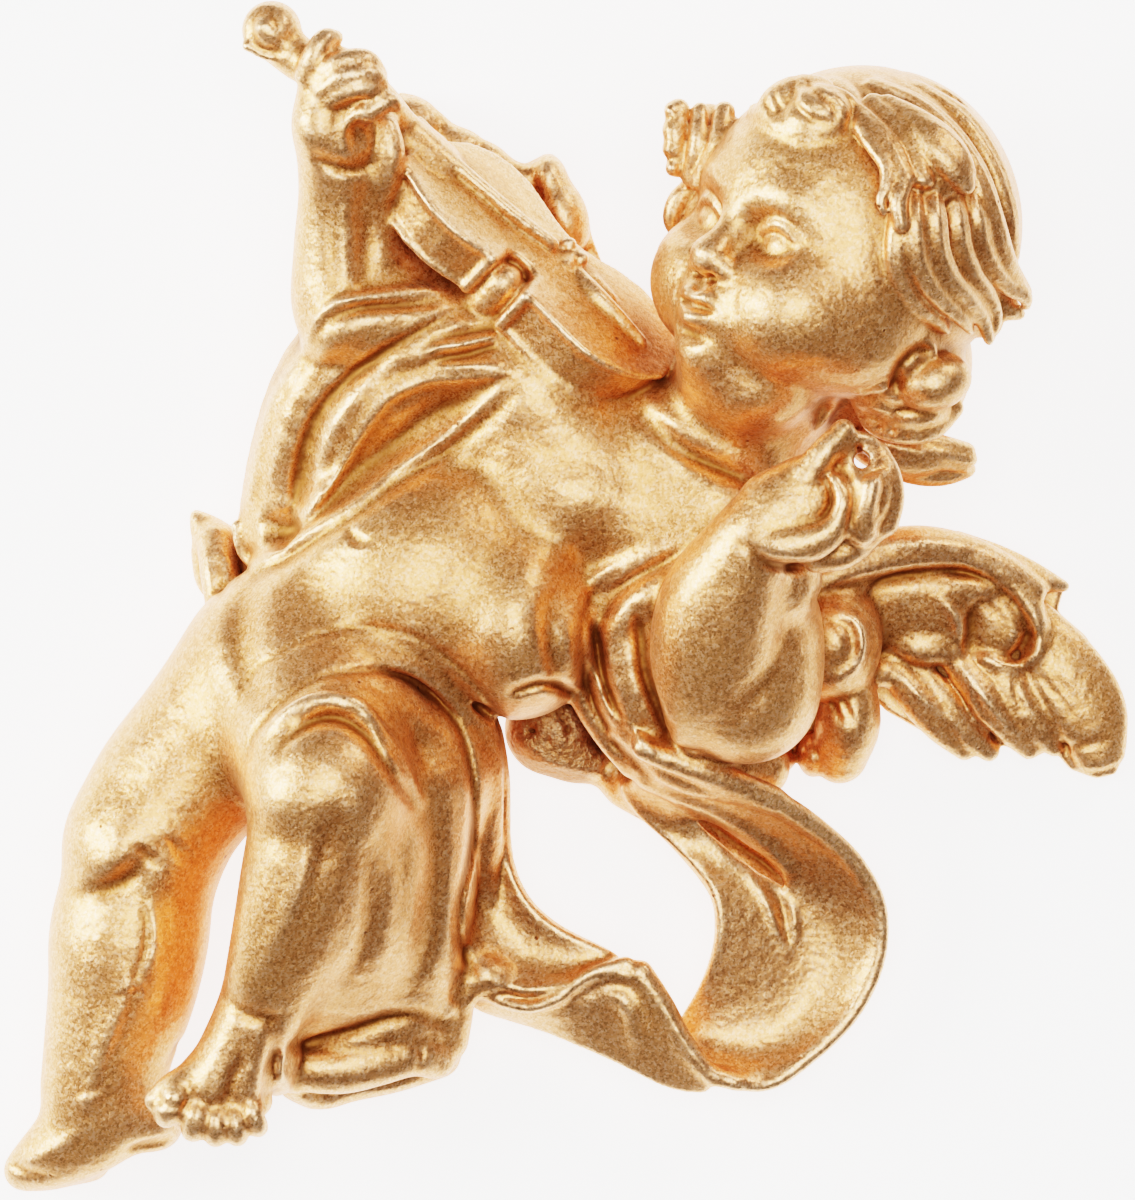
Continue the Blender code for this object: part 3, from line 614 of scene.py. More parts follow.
def hair(clay):
    if any(clay.axes[i][-1] < HAIR_LOW[i] for i in (0, 1)):
        return
    cap = Egg(SCALP, (20, 20, 19))
    clay.add(Side(cap, HEAD + unit((0.665, 0.11, -0.739)) * -10.2, (0.665, 0.11, -0.739)), 0.5)
    clay.add(Egg((41, 30, 14), (9.9, 11, 12)), 2)
    clay.add(Egg((44, 28, 23), (6, 6.4, 8)), 1.5)
    # the combed crown
    comb(clay, ((37.4, 65.4), (41, 62.4), (44.8, 58.8), (48, 55), (50.6, 50.8), (52.4, 46.2), (53.6, 42.6)),
        ((42.4, 66.2), (48.8, 62.5), (52.9, 57.3), (54.8, 51.7), (55.6, 47.3), (55.6, 43.6), (55.2, 40.9)),
        9, 0.95, 0.6, 18)
    comb(clay, ((31.6, 66.2), (35.6, 63.6), (37.2, 60.6), (39.2, 57.6), (41, 54.4)),
        ((36.8, 66.6), (39.8, 63.6), (42, 60.8), (45, 58.6), (48, 54.6)), 7, 0.8, 0.5, 30)
    clay.add(hair_lock([(38, 64.6, -0.8, 1.4, 1), (43.2, 62, -0.5, 1.9, 1.1), (47.8, 57.8, -0.3, 2, 1.1),
        (51, 52.6, -0.1, 1.9, 1.2), (52.8, 47.4, 0.1, 1.6, 1.2), (54.4, 42.4, 0.3, 1.3, 1.1),
        (56.4, 38.8, 0.8, 0.9, 0.9)], 3, 0.32), 0.5)
    clay.add(hair_lock([(44, 64.4, -0.9, 1.4, 1), (49.4, 60.6, -0.6, 1.9, 1.1),
        (53.2, 54.8, -0.4, 1.9, 1.1), (55.2, 48.6, -0.3, 1.6, 1.1), (55.8, 43, -0.3, 1.1, 0.9)], 3, 0.32),
        0.5)
    # strands from the forelock to the temple, and the leaf-shaped lock above it
    clay.add(Egg((44.6, 52.6, 39.6), (4.6, 4.4, 3.6)), 1)
    clay.add(hair_lock([(34.6, 61.2, 0.5, 1.4, 1), (37.4, 58.2, 1, 1.6, 1.2), (39.8, 55.2, 1.2, 1.6, 1.2),
        (41.4, 51.8, 1.4, 1.4, 1.2)], 3, 0.34), 0.4)
    clay.add(hair_lock([(37.8, 61.6, 0.4, 1.3, 1), (40.6, 58.4, 0.9, 1.5, 1.2), (42.6, 55, 1.2, 1.4, 1.2),
        (43.6, 51.8, 1.3, 1.3, 1.2)], 3, 0.34), 0.4)
    clay.add(hair_lock([(39.6, 61.4, 0.8, 1, 0.9), (42.6, 58.6, 1.6, 2, 1.4), (45.2, 55.4, 2.2, 2.9, 2),
        (47.2, 52.8, 2.2, 2.4, 1.9), (48.4, 51, 1.8, 1.2, 1.2)], 0), 0.25)
    clay.add(hair_lock([(42.6, 58.4, 2.4, 0.5, 0.5), (44.8, 56.4, 3.5, 0.6, 0.7),
        (47, 54.2, 3.7, 0.55, 0.6), (48.6, 52.2, 2.8, 0.4, 0.4)]), 0.5)
    clay.add(hair_lock([(35.8, 58.4, 1, 0.7, 0.8), (37.6, 55.6, 1.4, 0.9, 0.9), (39.2, 53, 1.6, 0.9, 1),
        (39.2, 50.6, 1.7, 0.9, 0.9), (38.6, 49.2, 1.7, 0.7, 0.7), (39, 47.8, 1.6, 0.5, 0.5)]), 0.4)
    clay.add(hair_lock([(41.4, 51.4, 1.8, 1, 1), (40.6, 49, 2, 1.1, 1.1), (40.9, 46.4, 2, 0.9, 0.9)]), 0.4)
    # the fan of waved locks beside the cheek
    out = (0.42, -0.06, 0.9)
    fan = (
        [(41.6, 50, 43, 1.1, 0.9), (40.9, 46.4, 44, 1.2, 1.2), (40.7, 42.6, 43.6, 1.3, 1.3),
         (41.5, 39.2, 42, 1.2, 1.2), (43.6, 36.4, 39.2, 1.1, 1.1), (46, 34.6, 36.4, 0.8, 0.8),
         (47.2, 33.4, 34.8, 0.4, 0.5)],
        [(42.8, 50.6, 43, 1.2, 1), (42.9, 46.8, 44, 1.5, 1.4), (43.1, 43.2, 43.5, 1.5, 1.4),
         (44.4, 39.8, 41.6, 1.4, 1.3), (46.8, 37, 38.8, 1.2, 1.1), (49.2, 34.8, 35.8, 0.9, 0.9),
         (50.2, 33.4, 34, 0.4, 0.5)],
        [(44.6, 50.8, 42, 1.3, 1.1), (45.4, 47, 42.8, 1.6, 1.5), (45.8, 43.4, 42, 1.6, 1.4),
         (47.4, 40, 39.9, 1.4, 1.2), (49.8, 37.4, 36.9, 1.1, 1.1), (51.7, 34.8, 33.6, 0.9, 0.9),
         (52.5, 32.4, 31.8, 0.6, 0.7)],
        [(46.6, 50.8, 40.2, 1.2, 1.1), (48.2, 47.2, 39.8, 1.5, 1.4), (48.8, 43.6, 38.8, 1.5, 1.3),
         (50.4, 40.2, 36.8, 1.3, 1.2), (52.4, 37.6, 33.9, 1.1, 1), (53.3, 34.8, 31.4, 0.8, 0.8),
         (52.6, 32.4, 30.6, 0.5, 0.6)],
        [(48.8, 50.8, 38.8, 1.1, 1), (50.8, 47.4, 37.8, 1.4, 1.3), (51.6, 44, 36.2, 1.3, 1.2),
         (53, 41.4, 33.8, 1.3, 1.1), (55, 39.2, 30.8, 1.2, 1), (57.2, 37.6, 28.4, 0.8, 0.8),
         (57.3, 36.6, 27.4, 0.5, 0.5)])
    clay.add(Lock([(44.6, 50, 38.6, 3.4, 1.6), (46.4, 44, 38, 4.2, 1.6), (49, 39.4, 35, 3.6, 1.6),
        (51, 35.6, 31.6, 2, 1.4)], out), 0.8)
    for rows in reversed(fan):
        x, y, z, wide, high = rows[0]
        clay.add(Lock([(x, y + 2.8, z - 3.8, wide * 0.6, high), *rows[1:]], out, 2, 0.3), 0.3)
    clay.add(Limb([(53, 38.4, 27.5, 2), (55, 36.4, 26.4, 1.5), (56.4, 35.8, 25.8, 0.9)]), 0.5)
    clay.add(Limb([(50, 36, 27.5, 2.6), (52.4, 34.6, 26.5, 2)]), 0.8)
    # the forelock, a comma curling over the forehead
    clay.add(Egg((28.6, 61.9, 36), (5.2, 3.4, 3.8), 16), 0.5)
    clay.add(Egg((31.6, 60.2, 39), (4.9, 4, 3.8)), 0.5)
    clay.add(Limb([(34.4, 58.9, 39.8, 1.4), (32.6, 58, 40.2, 1.7), (30.2, 57.7, 40.2, 2),
        (27.6, 58.5, 39, 2), (25.2, 59.7, 36.4, 1.7), (23.4, 60.9, 33.4, 1)]), 0.9)
    clay.score([(28.4, 65, 0.2), (27.9, 62.8, 0.6), (28.6, 60.9, 0.7), (30.4, 59.6, 0.5),
        (32.4, 59.1, 0.2)], 0.42, 26)
    for rows in ([(32, 63.9, 0.2), (34.2, 62.8, 0.6), (35.4, 60.6, 0.6), (34.9, 58.6, 0.2)],
            [(30.4, 62.9, 0.2), (31.8, 62.2, 0.6), (33.2, 60.8, 0.6), (33, 59.4, 0.2)],
            [(25.6, 63.6, 0.1), (25.9, 62.2, 0.6), (27, 60.4, 0.3)], [(24.4, 62.6, 0.1), (24.8, 61.6, 0.5),
            (25.6, 60.4, 0.2)], [(26.8, 64.4, 0.1), (26.9, 62.6, 0.6), (27.9, 60.4, 0.3)],
            [(30, 65.4, 0.1), (29.9, 63.9, 0.6), (30.9, 62.6, 0.2)]):
        clay.score(rows, 0.3, 26)
    # tufts behind the far temple
    clay.add(Egg((17.6, 57, 21.6), (4.8, 5.2, 4)), 1)
    for rows in (((13.9, 61.4, 24.2, 1.4), (13.5, 58, 25, 1.5), (14, 54, 24.2, 1.2)),
            ((16.6, 61.2, 25.2, 1.1), (16.3, 57, 26.4, 1.3), (15.2, 52.6, 25, 1)),
            ((19.6, 61, 26.2, 1.4), (18.8, 56.8, 27.8, 1.4), (16.2, 52, 26.2, 1))):
        clay.add(Limb(rows), 0.4)
    for x, y in ((12.9, 61.2), (12.7, 58.8), (12.7, 56.4), (13.1, 54)):
        clay.add(Egg((x, y, 24.6), (0.9, 1.1, 1.6)), 0.4)
    clay.add(Egg((16, 49.5, 20.5), (3, 3.6, 3)), 0.8)
    clay.add(Limb([(16, 52, 23, 1.3), (13.8, 49.9, 22.6, 1.4), (13.1, 47.6, 22.2, 1.2),
        (13.8, 45.3, 21.4, 0.6)]), 0.4)
    clay.add(Limb([(18, 51.2, 24.8, 1.2), (16.2, 49.2, 24.6, 1.1), (15, 46.8, 23.6, 0.8)]), 0.4)
    # curls about the near ear
    clay.add(Egg((41.6, 30.6, 31.6), (5.2, 4.2, 4.4)), 1)
    clay.add(Egg((39.4, 26.2, 30), (4.4, 3.2, 4)), 1)
    clay.add(Egg((42.6, 23.6, 27.2), (5, 2.8, 4.2)), 0.8)
    clay.add(Limb([(33.6, 28.4, 33.8, 0.5), (35, 27, 34.4, 0.8), (37.2, 26.3, 34.8, 1),
        (39.2, 26.9, 35.2, 1)]), 0.4)
    clay.add(Limb([(38.4, 30, 35.4, 0.6), (39.4, 31.8, 35.9, 0.8), (41.6, 33, 36, 0.9),
        (44, 32.6, 35.4, 0.9), (45.4, 31, 34.4, 0.8)]), 0.35)
    clay.add(Limb([(40, 28.4, 35.6, 0.6), (40, 30, 36.2, 0.7), (41.6, 31.2, 36.2, 0.8),
        (43.2, 30.6, 35.6, 0.7)]), 0.3)
    clay.add(Egg((45.6, 27.2, 31.6), (4.9, 3.7, 4.4), 16), 0.35)
    clay.score([(40.6, 26.8, 0.5), (41.4, 29.4, 0.7), (43.6, 31, 0.5), (46, 31, 0.2)], 0.5, 28)
    clay.add(Limb([(36.4, 24.6, 29.4, 1), (38.2, 22.3, 28.2, 1.5), (41.9, 21.2, 27.6, 1.8),
        (45.2, 21.6, 26.8, 1.8), (48.2, 24, 25.4, 1.4)]), 0.6)
    clay.score([(37.4, 25.6, 0.2), (39, 24.6, 0.6), (41.4, 23.8, 0.5), (45, 23.2, 0.3)], 0.45, 24)
    clay.add(Egg((41.6, 18.6, 17.4), (6.4, 3, 3.4), -8), 0.8)
    clay.add(Lock([(37.6, 20.4, 19.6, 1.2, 1.6), (42.2, 19.2, 19.2, 1.8, 1.8), (46.6, 18.6, 17.6, 2, 2),
        (49.6, 18, 15.8, 1.8, 1.8)], (0.1, -0.2, 0.95), 2, 0.35), 0.5)
    clay.add(Lock([(38.6, 18.2, 16.6, 1.2, 1.6), (43, 16.4, 15.6, 1.6, 1.8), (47.6, 16, 14.4, 1.4, 1.6),
        (50, 16.4, 14, 1, 1.3)], (0.1, -0.5, 0.85), 2, 0.3), 0.6)
    clay.cut(Egg((31.9, 22.4, 29.5), (1.5, 3, 6), -16), 0.8)
    for x, y in ((38.8, 21.4), (40.4, 21.2), (42.2, 20.4), (43.8, 20.6), (36.8, 22.8)):
        clay.cut(Egg((x, y, 29.4), (0.35, 0.4, 0.8)), 0.2)


def shawl(clay):
    clay.add(Limb([(-11, 33, 16, 11.3), (-24.4, 27.2, 15, 11.4), (-31.4, 17.5, 11.8, 8.6),
        (-36.6, 9.6, 9.5, 5)]), 0.8)
    clay.add(Egg((-24, 18, 10.6), (15, 11, 10.6), 40), 1.5)
    clay.add(Limb([(-7, 26, 17.8, 7.6), (-16, 19.8, 17.2, 7.6), (-25, 13, 15.8, 7.4), (-33, 8, 12.8, 6.2)]),
        2.5)
    # the pocket where it ends, and its tail behind
    clay.add(Limb([(-34.6, 11.4, 11, 3.4), (-38.2, 8.4, 10, 3)]), 1)
    clay.add(Limb([(-38, 3.6, 4.4, 3.2), (-42.2, 5.2, 4.6, 3.4), (-45.4, 8.6, 4.6, 2.2),
        (-46.9, 10.6, 4.4, 0.9)]), 0.8)
    clay.add(Limb([(-40.5, 0.5, 4.2, 3), (-44.8, 2.6, 4.2, 2.2), (-45.6, 6, 4.2, 2)]), 0.8)
    clay.add(Limb([(-41.8, 9.6, 11.4, 0.6), (-41.4, 7.2, 11.2, 0.7), (-40.4, 5.2, 11.2, 0.7),
        (-38.6, 4.6, 11.8, 0.6)]), 0.5)
    clay.add(Limb([(-43.4, -0.8, 9.5, 2.2), (-43.8, 3.2, 9, 2.5), (-44.4, 7.4, 6.5, 2.3)]), 1)
    clay.cut(Egg((-37.2, 9.2, 19.6), (3.8, 2.8, 3.4), -32), 1.2)


def shawl_folds(clay):
    clay.score([(-31.4, 35.2, -0.4), (-29.2, 36.9, -0.8), (-24.4, 38, -0.9), (-20, 38.7, -0.8),
        (-15.4, 39, -0.3)], (0.5, 1), 10)
    clay.score([(-29.6, 34.9, 0.3), (-26, 36.3, 0.8), (-21, 36.6, 0.9), (-16.8, 37, 0.4)], (0.7, 0.5), 14)
    clay.score([(-31.4, 34.8, -0.3), (-33.6, 30.4, -0.5), (-37, 25, -0.6), (-38.7, 20, -0.6),
        (-39.6, 15.6, -0.5), (-40.3, 12, -0.4)], 0.6, 6)
    # the broad outer band and the crease it rolls into
    clay.score([(-17.6, 36.2, -0.4), (-23.6, 35, -0.8), (-29, 32.6, -0.9), (-33, 28.4, -0.9),
        (-35.6, 23.2, -0.9), (-36.6, 17.6, -0.9), (-36.8, 12.4, -0.5)], (2, 2.2), 10)
    clay.score([(-12.8, 36.4, 0.3), (-19.6, 33, 0.9), (-24.2, 30.4, 1.2), (-28, 27.4, 1.2),
        (-31, 24.2, 1.2), (-33, 20, 1.2), (-34, 15.4, 1), (-34.6, 11, 0.5)], (1.6, 0.5), 10)
    clay.score([(-29, 26, 0.1), (-31.2, 21.6, 0.3), (-32.2, 16.6, 0.3), (-33, 12, 0.1)], 0.6, 10)
    # the lit plane and its sharp edge over the valley
    clay.score([(-14, 34.4, -0.3), (-20, 31, -0.6), (-25, 27.2, -0.7), (-28.6, 22, -0.7), (-31.2, 16, -0.6),
        (-32.8, 11.4, -0.3)], (1.3, 1.2), 12)
    clay.score([(-8.8, 27.9, -0.7), (-13.6, 27.4, -0.9), (-18.4, 26.8, -0.9), (-22.4, 24.8, -1),
        (-25.4, 20.8, -1), (-28, 16.6, -1), (-30.6, 12.8, -0.8), (-32.4, 10.6, -0.4)], (0.45, 1.7), 10)
    clay.score([(-8.6, 26.9, 0.3), (-13, 25, 0.8), (-17.4, 23, 1), (-21.4, 19.8, 1.1), (-25.4, 15.8, 1),
        (-29.6, 11.6, 0.7), (-33.4, 8.8, 0.3)], (2, 1.7), 8)
    # short folds gathered beneath the violin
    clay.score([(-9.6, 32.8, -0.5), (-13.4, 31.9, -0.9), (-16.8, 31.2, -0.7), (-19.4, 29.6, -0.3)],
        (0.6, 0.6), 14)
    clay.score([(-9.4, 33.9, 0.4), (-12.6, 33.4, 0.8), (-16.2, 32.6, 0.5), (-18.6, 31.2, 0.1)], 0.5, 14)
    clay.score([(-9.6, 31.5, 0.8), (-12.6, 30.6, 0.9), (-15.6, 30.2, 0.4)], (0.5, 0.5), 14)
    clay.score([(-8.8, 29.2, -0.5), (-12.6, 29.2, -0.7), (-16.4, 28.9, -0.3)], 0.5, 14)
    # the thin rolled hem across the chest
    clay.score([(-7.8, 26.9, -0.3), (-11.6, 23.4, -0.5), (-16.4, 19.7, -0.5), (-21.6, 16.4, -0.5),
        (-26.5, 12.4, -0.5), (-31.2, 9.4, -0.5), (-35.6, 6.6, -0.5), (-39.6, 4.4, -0.4)], (0.45, 0.7), 8)
    clay.score([(-7, 25.7, 0.2), (-10.9, 22.2, 0.45), (-15.6, 18.4, 0.5), (-21, 15, 0.5), (-26, 11.1, 0.5),
        (-31, 7.9, 0.5), (-35.8, 4.8, 0.5), (-39.2, 2.9, 0.3)], (1, 0.35), 8)
    clay.score([(-44, 4.6, 0.5), (-43.6, 1.2, 0.4)], 0.8, 0)


def slab(points, rise):
    """A flat plate: a closed rim of points, extruded."""
    bm = bmesh.new()
    made = bmesh.ops.extrude_face_region(bm, geom=[bm.faces.new([bm.verts.new(p) for p in points])])
    bmesh.ops.translate(bm, vec=rise, verts=[v for v in made["geom"] if isinstance(v, bmesh.types.BMVert)])
    return Solid.of_bmesh(bm)


def violin(clay):
    along, across, face = (unit(v) for v in ((-0.745, 0.665, 0.037), (0.35, 0.44, -0.83),
        (0.568, 0.605, 0.561)))
    origin = np.array((-13.6, 53.1, 24.8))
    middle = -14  # how far along the body its waist lies
    near = ((7.4, 2.4), (6.6, 4.8), (4.8, 7), (2.4, 8.4), (-0.4, 9.5), (-3.4, 9.9), (-6.4, 9.5),
        (-8.8, 8.7), (-10.6, 8.3), (-10.9, 5), (-12, 4.3), (-14.2, 4.3), (-15.4, 5.2), (-15.6, 9.6),
        (-18.5, 9.9), (-22.5, 10.4), (-26, 10.6), (-29, 9.8), (-31.8, 8.2), (-34.2, 5.8), (-35.8, 3))
    far = ((-35.6, 3.4), (-33.6, 6.2), (-30.4, 8.4), (-26.8, 9.2), (-23, 8.6), (-20, 7.3), (-17, 6.7),
        (-13.6, 7.4), (-10.6, 8.8), (-7.4, 10.2), (-4.2, 10.4), (-1.2, 9.6), (1.6, 7.8), (3.4, 5.2),
        (5.6, 2.9), (8, 2.2))
    line = [(a, -c) for a, c in near] + [(a, c) for a, c in far]

    def at(a, c, h):
        return origin + along * a + across * c + face * h

    def plate(shrink, low, high):
        points = []
        for a, c in line:
            inward = unit((middle - a, -c)) * shrink
            points.append(at(a + inward[0], c + inward[1], low))
        return slab(points, face * (high - low))

    clay.add(plate(0, -1, 0), 0.2)
    clay.add(plate(0.75, -6.2, -0.5), 0.15)
    clay.add(plate(0, -7, -6.1), 0.2)
    # arching of the soundboard
    clay.add(Egg(at(-3.5, 0, -1.6), (8.6, 8.2, 2.3), basis=(along, across, face)), 0.8)
    clay.add(Egg(at(-24.5, 0, -1.6), (9.4, 8.4, 2.4), basis=(along, across, face)), 0.8)
    clay.add(Egg(at(-14, 0, -1.6), (9.4, 4, 2.2), basis=(along, across, face)), 0.8)

    def bar(rows, soft=0.3):
        return Limb([(*at(*row[:3]), row[3]) for row in rows], 1), soft

    clay.add(*bar([(8.5, -0.5, 0.9, 1.1), (0, -0.5, 1.2, 1), (-8, -0.3, 1.3, 0.95), (-14.6, 0.6, 1.4, 0.8)],
        0.4))
    clay.add(*bar([(7.5, -1.5, 1.1, 0.35), (0, -1.3, 1.6, 0.3), (-8, -1.1, 1.7, 0.3),
        (-14, -0.2, 1.8, 0.3)]))
    clay.add(*bar([(8.5, 3, 0.5, 0.5), (4.6, 2.8, 0.5, 0.4)]))
    clay.add(*bar([(-15.8, 3.4, 0.8, 1), (-16.2, 3.4, 1.4, 0.8)]))
    clay.add(*bar([(-18.3, 3.2, 0.8, 1.1), (-18.6, 2.6, 1.4, 0.8)]))
    clay.add(*bar([(-17, 3.4, 0.4, 0.9), (-17.6, 0.4, 0.5, 0.8)]))
    clay.add(*bar([(-19, 1, 0.3, 0.9), (-22.6, -0.8, 0.9, 1.2), (-26.6, -1, 0.8, 1), (-31, -1, 0.4, 0.7)]))
    clay.add(*bar([(-21.5, 2.6, 0.3, 0.7), (-24.5, 1.4, 0.5, 0.8)]))
    for a in (-12.4, -20.2):
        for c in (-4.4, 4.6):
            clay.press([(*at(a + 1.6, c, 0.4), 0.2), (*at(a, c + 0.4, 0.6), 0.4),
                (*at(a - 1.8, c, 0.4), 0.2)], 0.35)
    # corner blocks beside the cut-in waist
    clay.add(*bar([(-10, -8.2, -0.6, 0.8), (-10, -8.2, -6.4, 0.8)]))
    clay.add(*bar([(-16.2, -9.4, -0.6, 0.8), (-16.2, -9.4, -6.4, 0.8)]))
    clay.add(*bar([(-13.1, -6.3, -3.4, 2.5), (-13.1, -6.3, -7.2, 2.5)], 0.15))
    for a, c in ((-11.6, -8), (-12.6, -8.7), (-13.8, -8.7), (-14.8, -7.9)):
        clay.press([(*at(a, c, -1.6), 0.1), (*at(a, c, -3.6), 0.3), (*at(a, c, -6.4), 0.3)], 0.25)
    # neck, heel, pegbox and scroll
    neck = [at(3, 0, -2.2), at(9, -0.5, -0.6), at(15, -3, 2.2)]
    clay.add(Limb([(*neck[0], 4.2), (*neck[1], 2.8), (*neck[2], 2.6), (-31, 66.2, 31, 2.6),
        (-34.6, 68.6, 29.4, 2.4)]), 0.6)
    clay.add(Limb([(-22.6, 59, 30.4, 1.6), (-22, 56, 30.6, 1.8), (-22.6, 52.4, 29.2, 1.7),
        (-23.2, 49.2, 26.6, 1.3)]), 1.2)
    clay.add(Limb([(-33.6, 67.2, 29.6, 2.4), (-35.6, 69.2, 29.2, 2.8)]), 1)
    clay.add(Egg((-36.9, 71.1, 29), (3.75, 3.7, 3.9)), 0.5)
    curl = ((-37, 67.9), (-39.2, 68.7), (-40.2, 70.4), (-39.9, 72.2), (-38.6, 72.9), (-37.4, 72.2),
        (-37.2, 71.2))
    clay.score([(x + 0.9, y + 0.35, 0.55) for x, y in curl], 0.42, 28)
    clay.add(Limb([(-33.6, 68.2, 30.8, 0.55), (-36, 67.6, 31, 0.6), (-38.6, 68.2, 30.8, 0.6),
        (-40, 69.4, 30.4, 0.65)]), 0.25)
    clay.add(Egg((-38.1, 71.3, 32.2), (0.8, 0.8, 0.8)), 0.3)
    clay.add(Egg((-39.9, 69, 30.8), 0.75), 0.25)


def far_wing(clay):
    rim = ((-21.4, 64.2), (-19, 63.4), (-16, 60.7), (-13.4, 58.9), (-10.3, 57), (-5.6, 54.6), (-3.9, 55.8),
        (-2, 56.2), (-0.8, 54.6), (1.4, 50.4), (2.8, 46.6), (4.6, 42), (8.5, 35), (0, 28), (-14, 36),
        (-22, 48))
    clay.add(slab([(x, y, -1) for x, y in rim], (0, 0, 8.6)), 1)
    for at, size, turn in (((-18.6, 60.2, 8.2), (4.4, 2.8, 2.6), -32), ((-13.6, 57, 8.4), (3.8, 2.6, 2.4),
            -20), ((-9.6, 55.4, 8.2), (3, 2, 2.2), -35), ((-6.2, 52.8, 8.2), (3.2, 2.2, 2), -20),
            ((-2.4, 53.2, 8.6), (2.4, 3, 3), 10), ((-0.6, 48.4, 9), (3.2, 5.2, 3.6), 18)):
        clay.add(Egg(at, size, turn), 1.2)
    clay.score([(-16.6, 62, 0.2), (-16.2, 59, 0.5), (-17, 56.6, 0.3)], 0.6, 3, 14)
    clay.score([(-10.8, 57.8, 0.2), (-11.6, 56.2, 0.5), (-12.2, 54.2, 0.3)], 0.5, 3, 14)
    clay.score([(-3.6, 55.6, 0.2), (-4, 52.6, 0.4), (-2.4, 48.4, 0.3), (-0.6, 44.6, 0.2)], 0.6, 3, 14)


def near_wing(clay):
    rim = ((28, 2), (35, 5.6), (39, 7.4), (45, 8.5), (50, 7.7), (58, 4.2), (62.8, 1.6), (61.9, -1.4),
        (65.4, -4.4), (68.4, -8.8), (70.4, -13.3), (70.7, -18.3), (69.3, -22), (66.8, -22.6), (63.5, -21.4),
        (61.2, -18.6), (59.6, -19.7), (57.4, -19.3), (54.6, -18.2), (52.8, -19.4), (50.2, -19.6),
        (47.6, -18.2), (44.1, -16.2), (40.2, -14), (39, -12.5), (37.5, -19), (33, -20.4), (26, -19.4),
        (22, -14))
    clay.add(slab([(x, y, -1) for x, y in rim], (0, 0, 5.2)), 0.6)
    # the long plumes
    plumes = ([(58.6, -2.4, 6.4, 3, 1.7), (62.6, -8.6, 6.2, 4.8, 2), (66.1, -14.6, 5.2, 4.8, 1.9),
        (67.4, -20, 4, 3.2, 1.6)], [(53, -7.4, 7, 2.2, 1.6), (57, -12.4, 6.6, 2.6, 1.7),
        (60.4, -17, 5, 2, 1.4), (61.6, -18.8, 4.2, 1.2, 1)], [(48.4, -7, 7.2, 1.8, 1.6),
        (52.4, -11.6, 7.2, 2.3, 1.8), (56, -16.2, 5.6, 2.1, 1.6), (58.6, -18.8, 4.2, 1.6, 1.2)],
        [(44.4, -8.6, 6.8, 1.5, 1.4), (48, -13, 6.4, 2, 1.6), (51.2, -17.2, 5, 1.9, 1.5),
        (53.4, -19.2, 4, 1.4, 1.2)], [(40.6, -8, 7.4, 1.9, 1.7), (43.8, -12, 7, 2.4, 1.9),
        (47.2, -16, 5.6, 2.2, 1.7), (50.4, -19, 4, 1.5, 1.2)])
    for rows in plumes:
        clay.add(Lock(rows, (0.08, 0.06, 1)), 0.2)
    for rows in ([(41.4, -9.2, -0.2), (44.8, -12.6, -0.5), (48.2, -15.6, -0.4), (50.4, -18.2, -0.1)],
            [(50, -9.2, -0.2), (53.2, -13.4, -0.5), (56.2, -16.6, -0.4), (58.4, -18.2, -0.1)]):
        clay.score(rows, (0.9, 0.35), 3)
    for rows in ([(50.6, -11, -0.1), (50.9, -13.2, -0.4), (52.4, -15.4, -0.4), (54.2, -16.6, -0.1)],
            [(56.4, -9.6, 0.1), (56.5, -11.8, 0.5), (57.4, -13.8, 0.4)],
            [(57.6, -9.8, 0.1), (58.2, -11.6, 0.4), (59.2, -13.6, 0.2)],
            [(59.4, -9.4, 0.2), (61.4, -11.6, 0.4), (63.6, -14.4, 0.2)],
            [(60.8, -9, 0.1), (62.8, -11.2, 0.3), (65, -13.8, 0.1)]):
        clay.score(rows, 0.32, 3)
    clay.score([(62, -18.4, 0.2), (64.6, -18.4, 0.4), (67.8, -17.8, 0.2)], 0.5, 2)
    # covert plate with two overlapping lobes
    clay.add(Egg((46, 2.6, 9.4), (10, 3, 2.6), -6), 1.5)
    clay.add(Lock([(38, -1.2, 9.4, 6.2, 2.4), (44, -1.2, 9.2, 7.4, 2.4), (48.4, -2.8, 8.6, 5.4, 2)],
        (0.12, -0.42, 0.9)), 1)
    clay.add(Lock([(47, 0.4, 8.4, 5, 1.9), (52.6, -1, 8, 6.8, 1.9), (57, -3.8, 7.6, 4.8, 1.7)],
        (0.15, -0.3, 0.94)), 0.4)
    clay.add(Egg((44.6, -5.6, 8.2), (4.4, 2.6, 2.2), -10), 0.8)
    clay.score([(46.6, 0.4, -0.1), (48.6, -1.4, -0.7), (49.7, -4, -0.8), (49.6, -6.4, -0.5)], (0.5, 0.9), 6)
    clay.score([(49.6, 0.2, 0.2), (51, -2.4, 0.5), (51.2, -5, 0.4)], 1, 6)
    clay.score([(56, 0.4, 0.2), (57.6, -2.6, 1), (57.4, -5.4, 0.8), (55.4, -7.2, 0.3)], (0.8, 0.7), 6)
    clay.score([(58.4, -1.6, -0.4), (59.4, -4, -1), (59, -6.8, -0.9), (56.6, -8.2, -0.7),
        (53.4, -7.6, -0.5), (50.6, -6.4, -0.2)], (0.8, 0.6), 5)
    clay.score([(52, 0.2, 0.1), (54.2, -1.6, 0.25), (55.2, -4, 0.1)], 0.35, 6)
    clay.score([(50.4, 1.2, 0.1), (52.6, -0.4, 0.25), (54, -2.6, 0.1)], 0.35, 6)
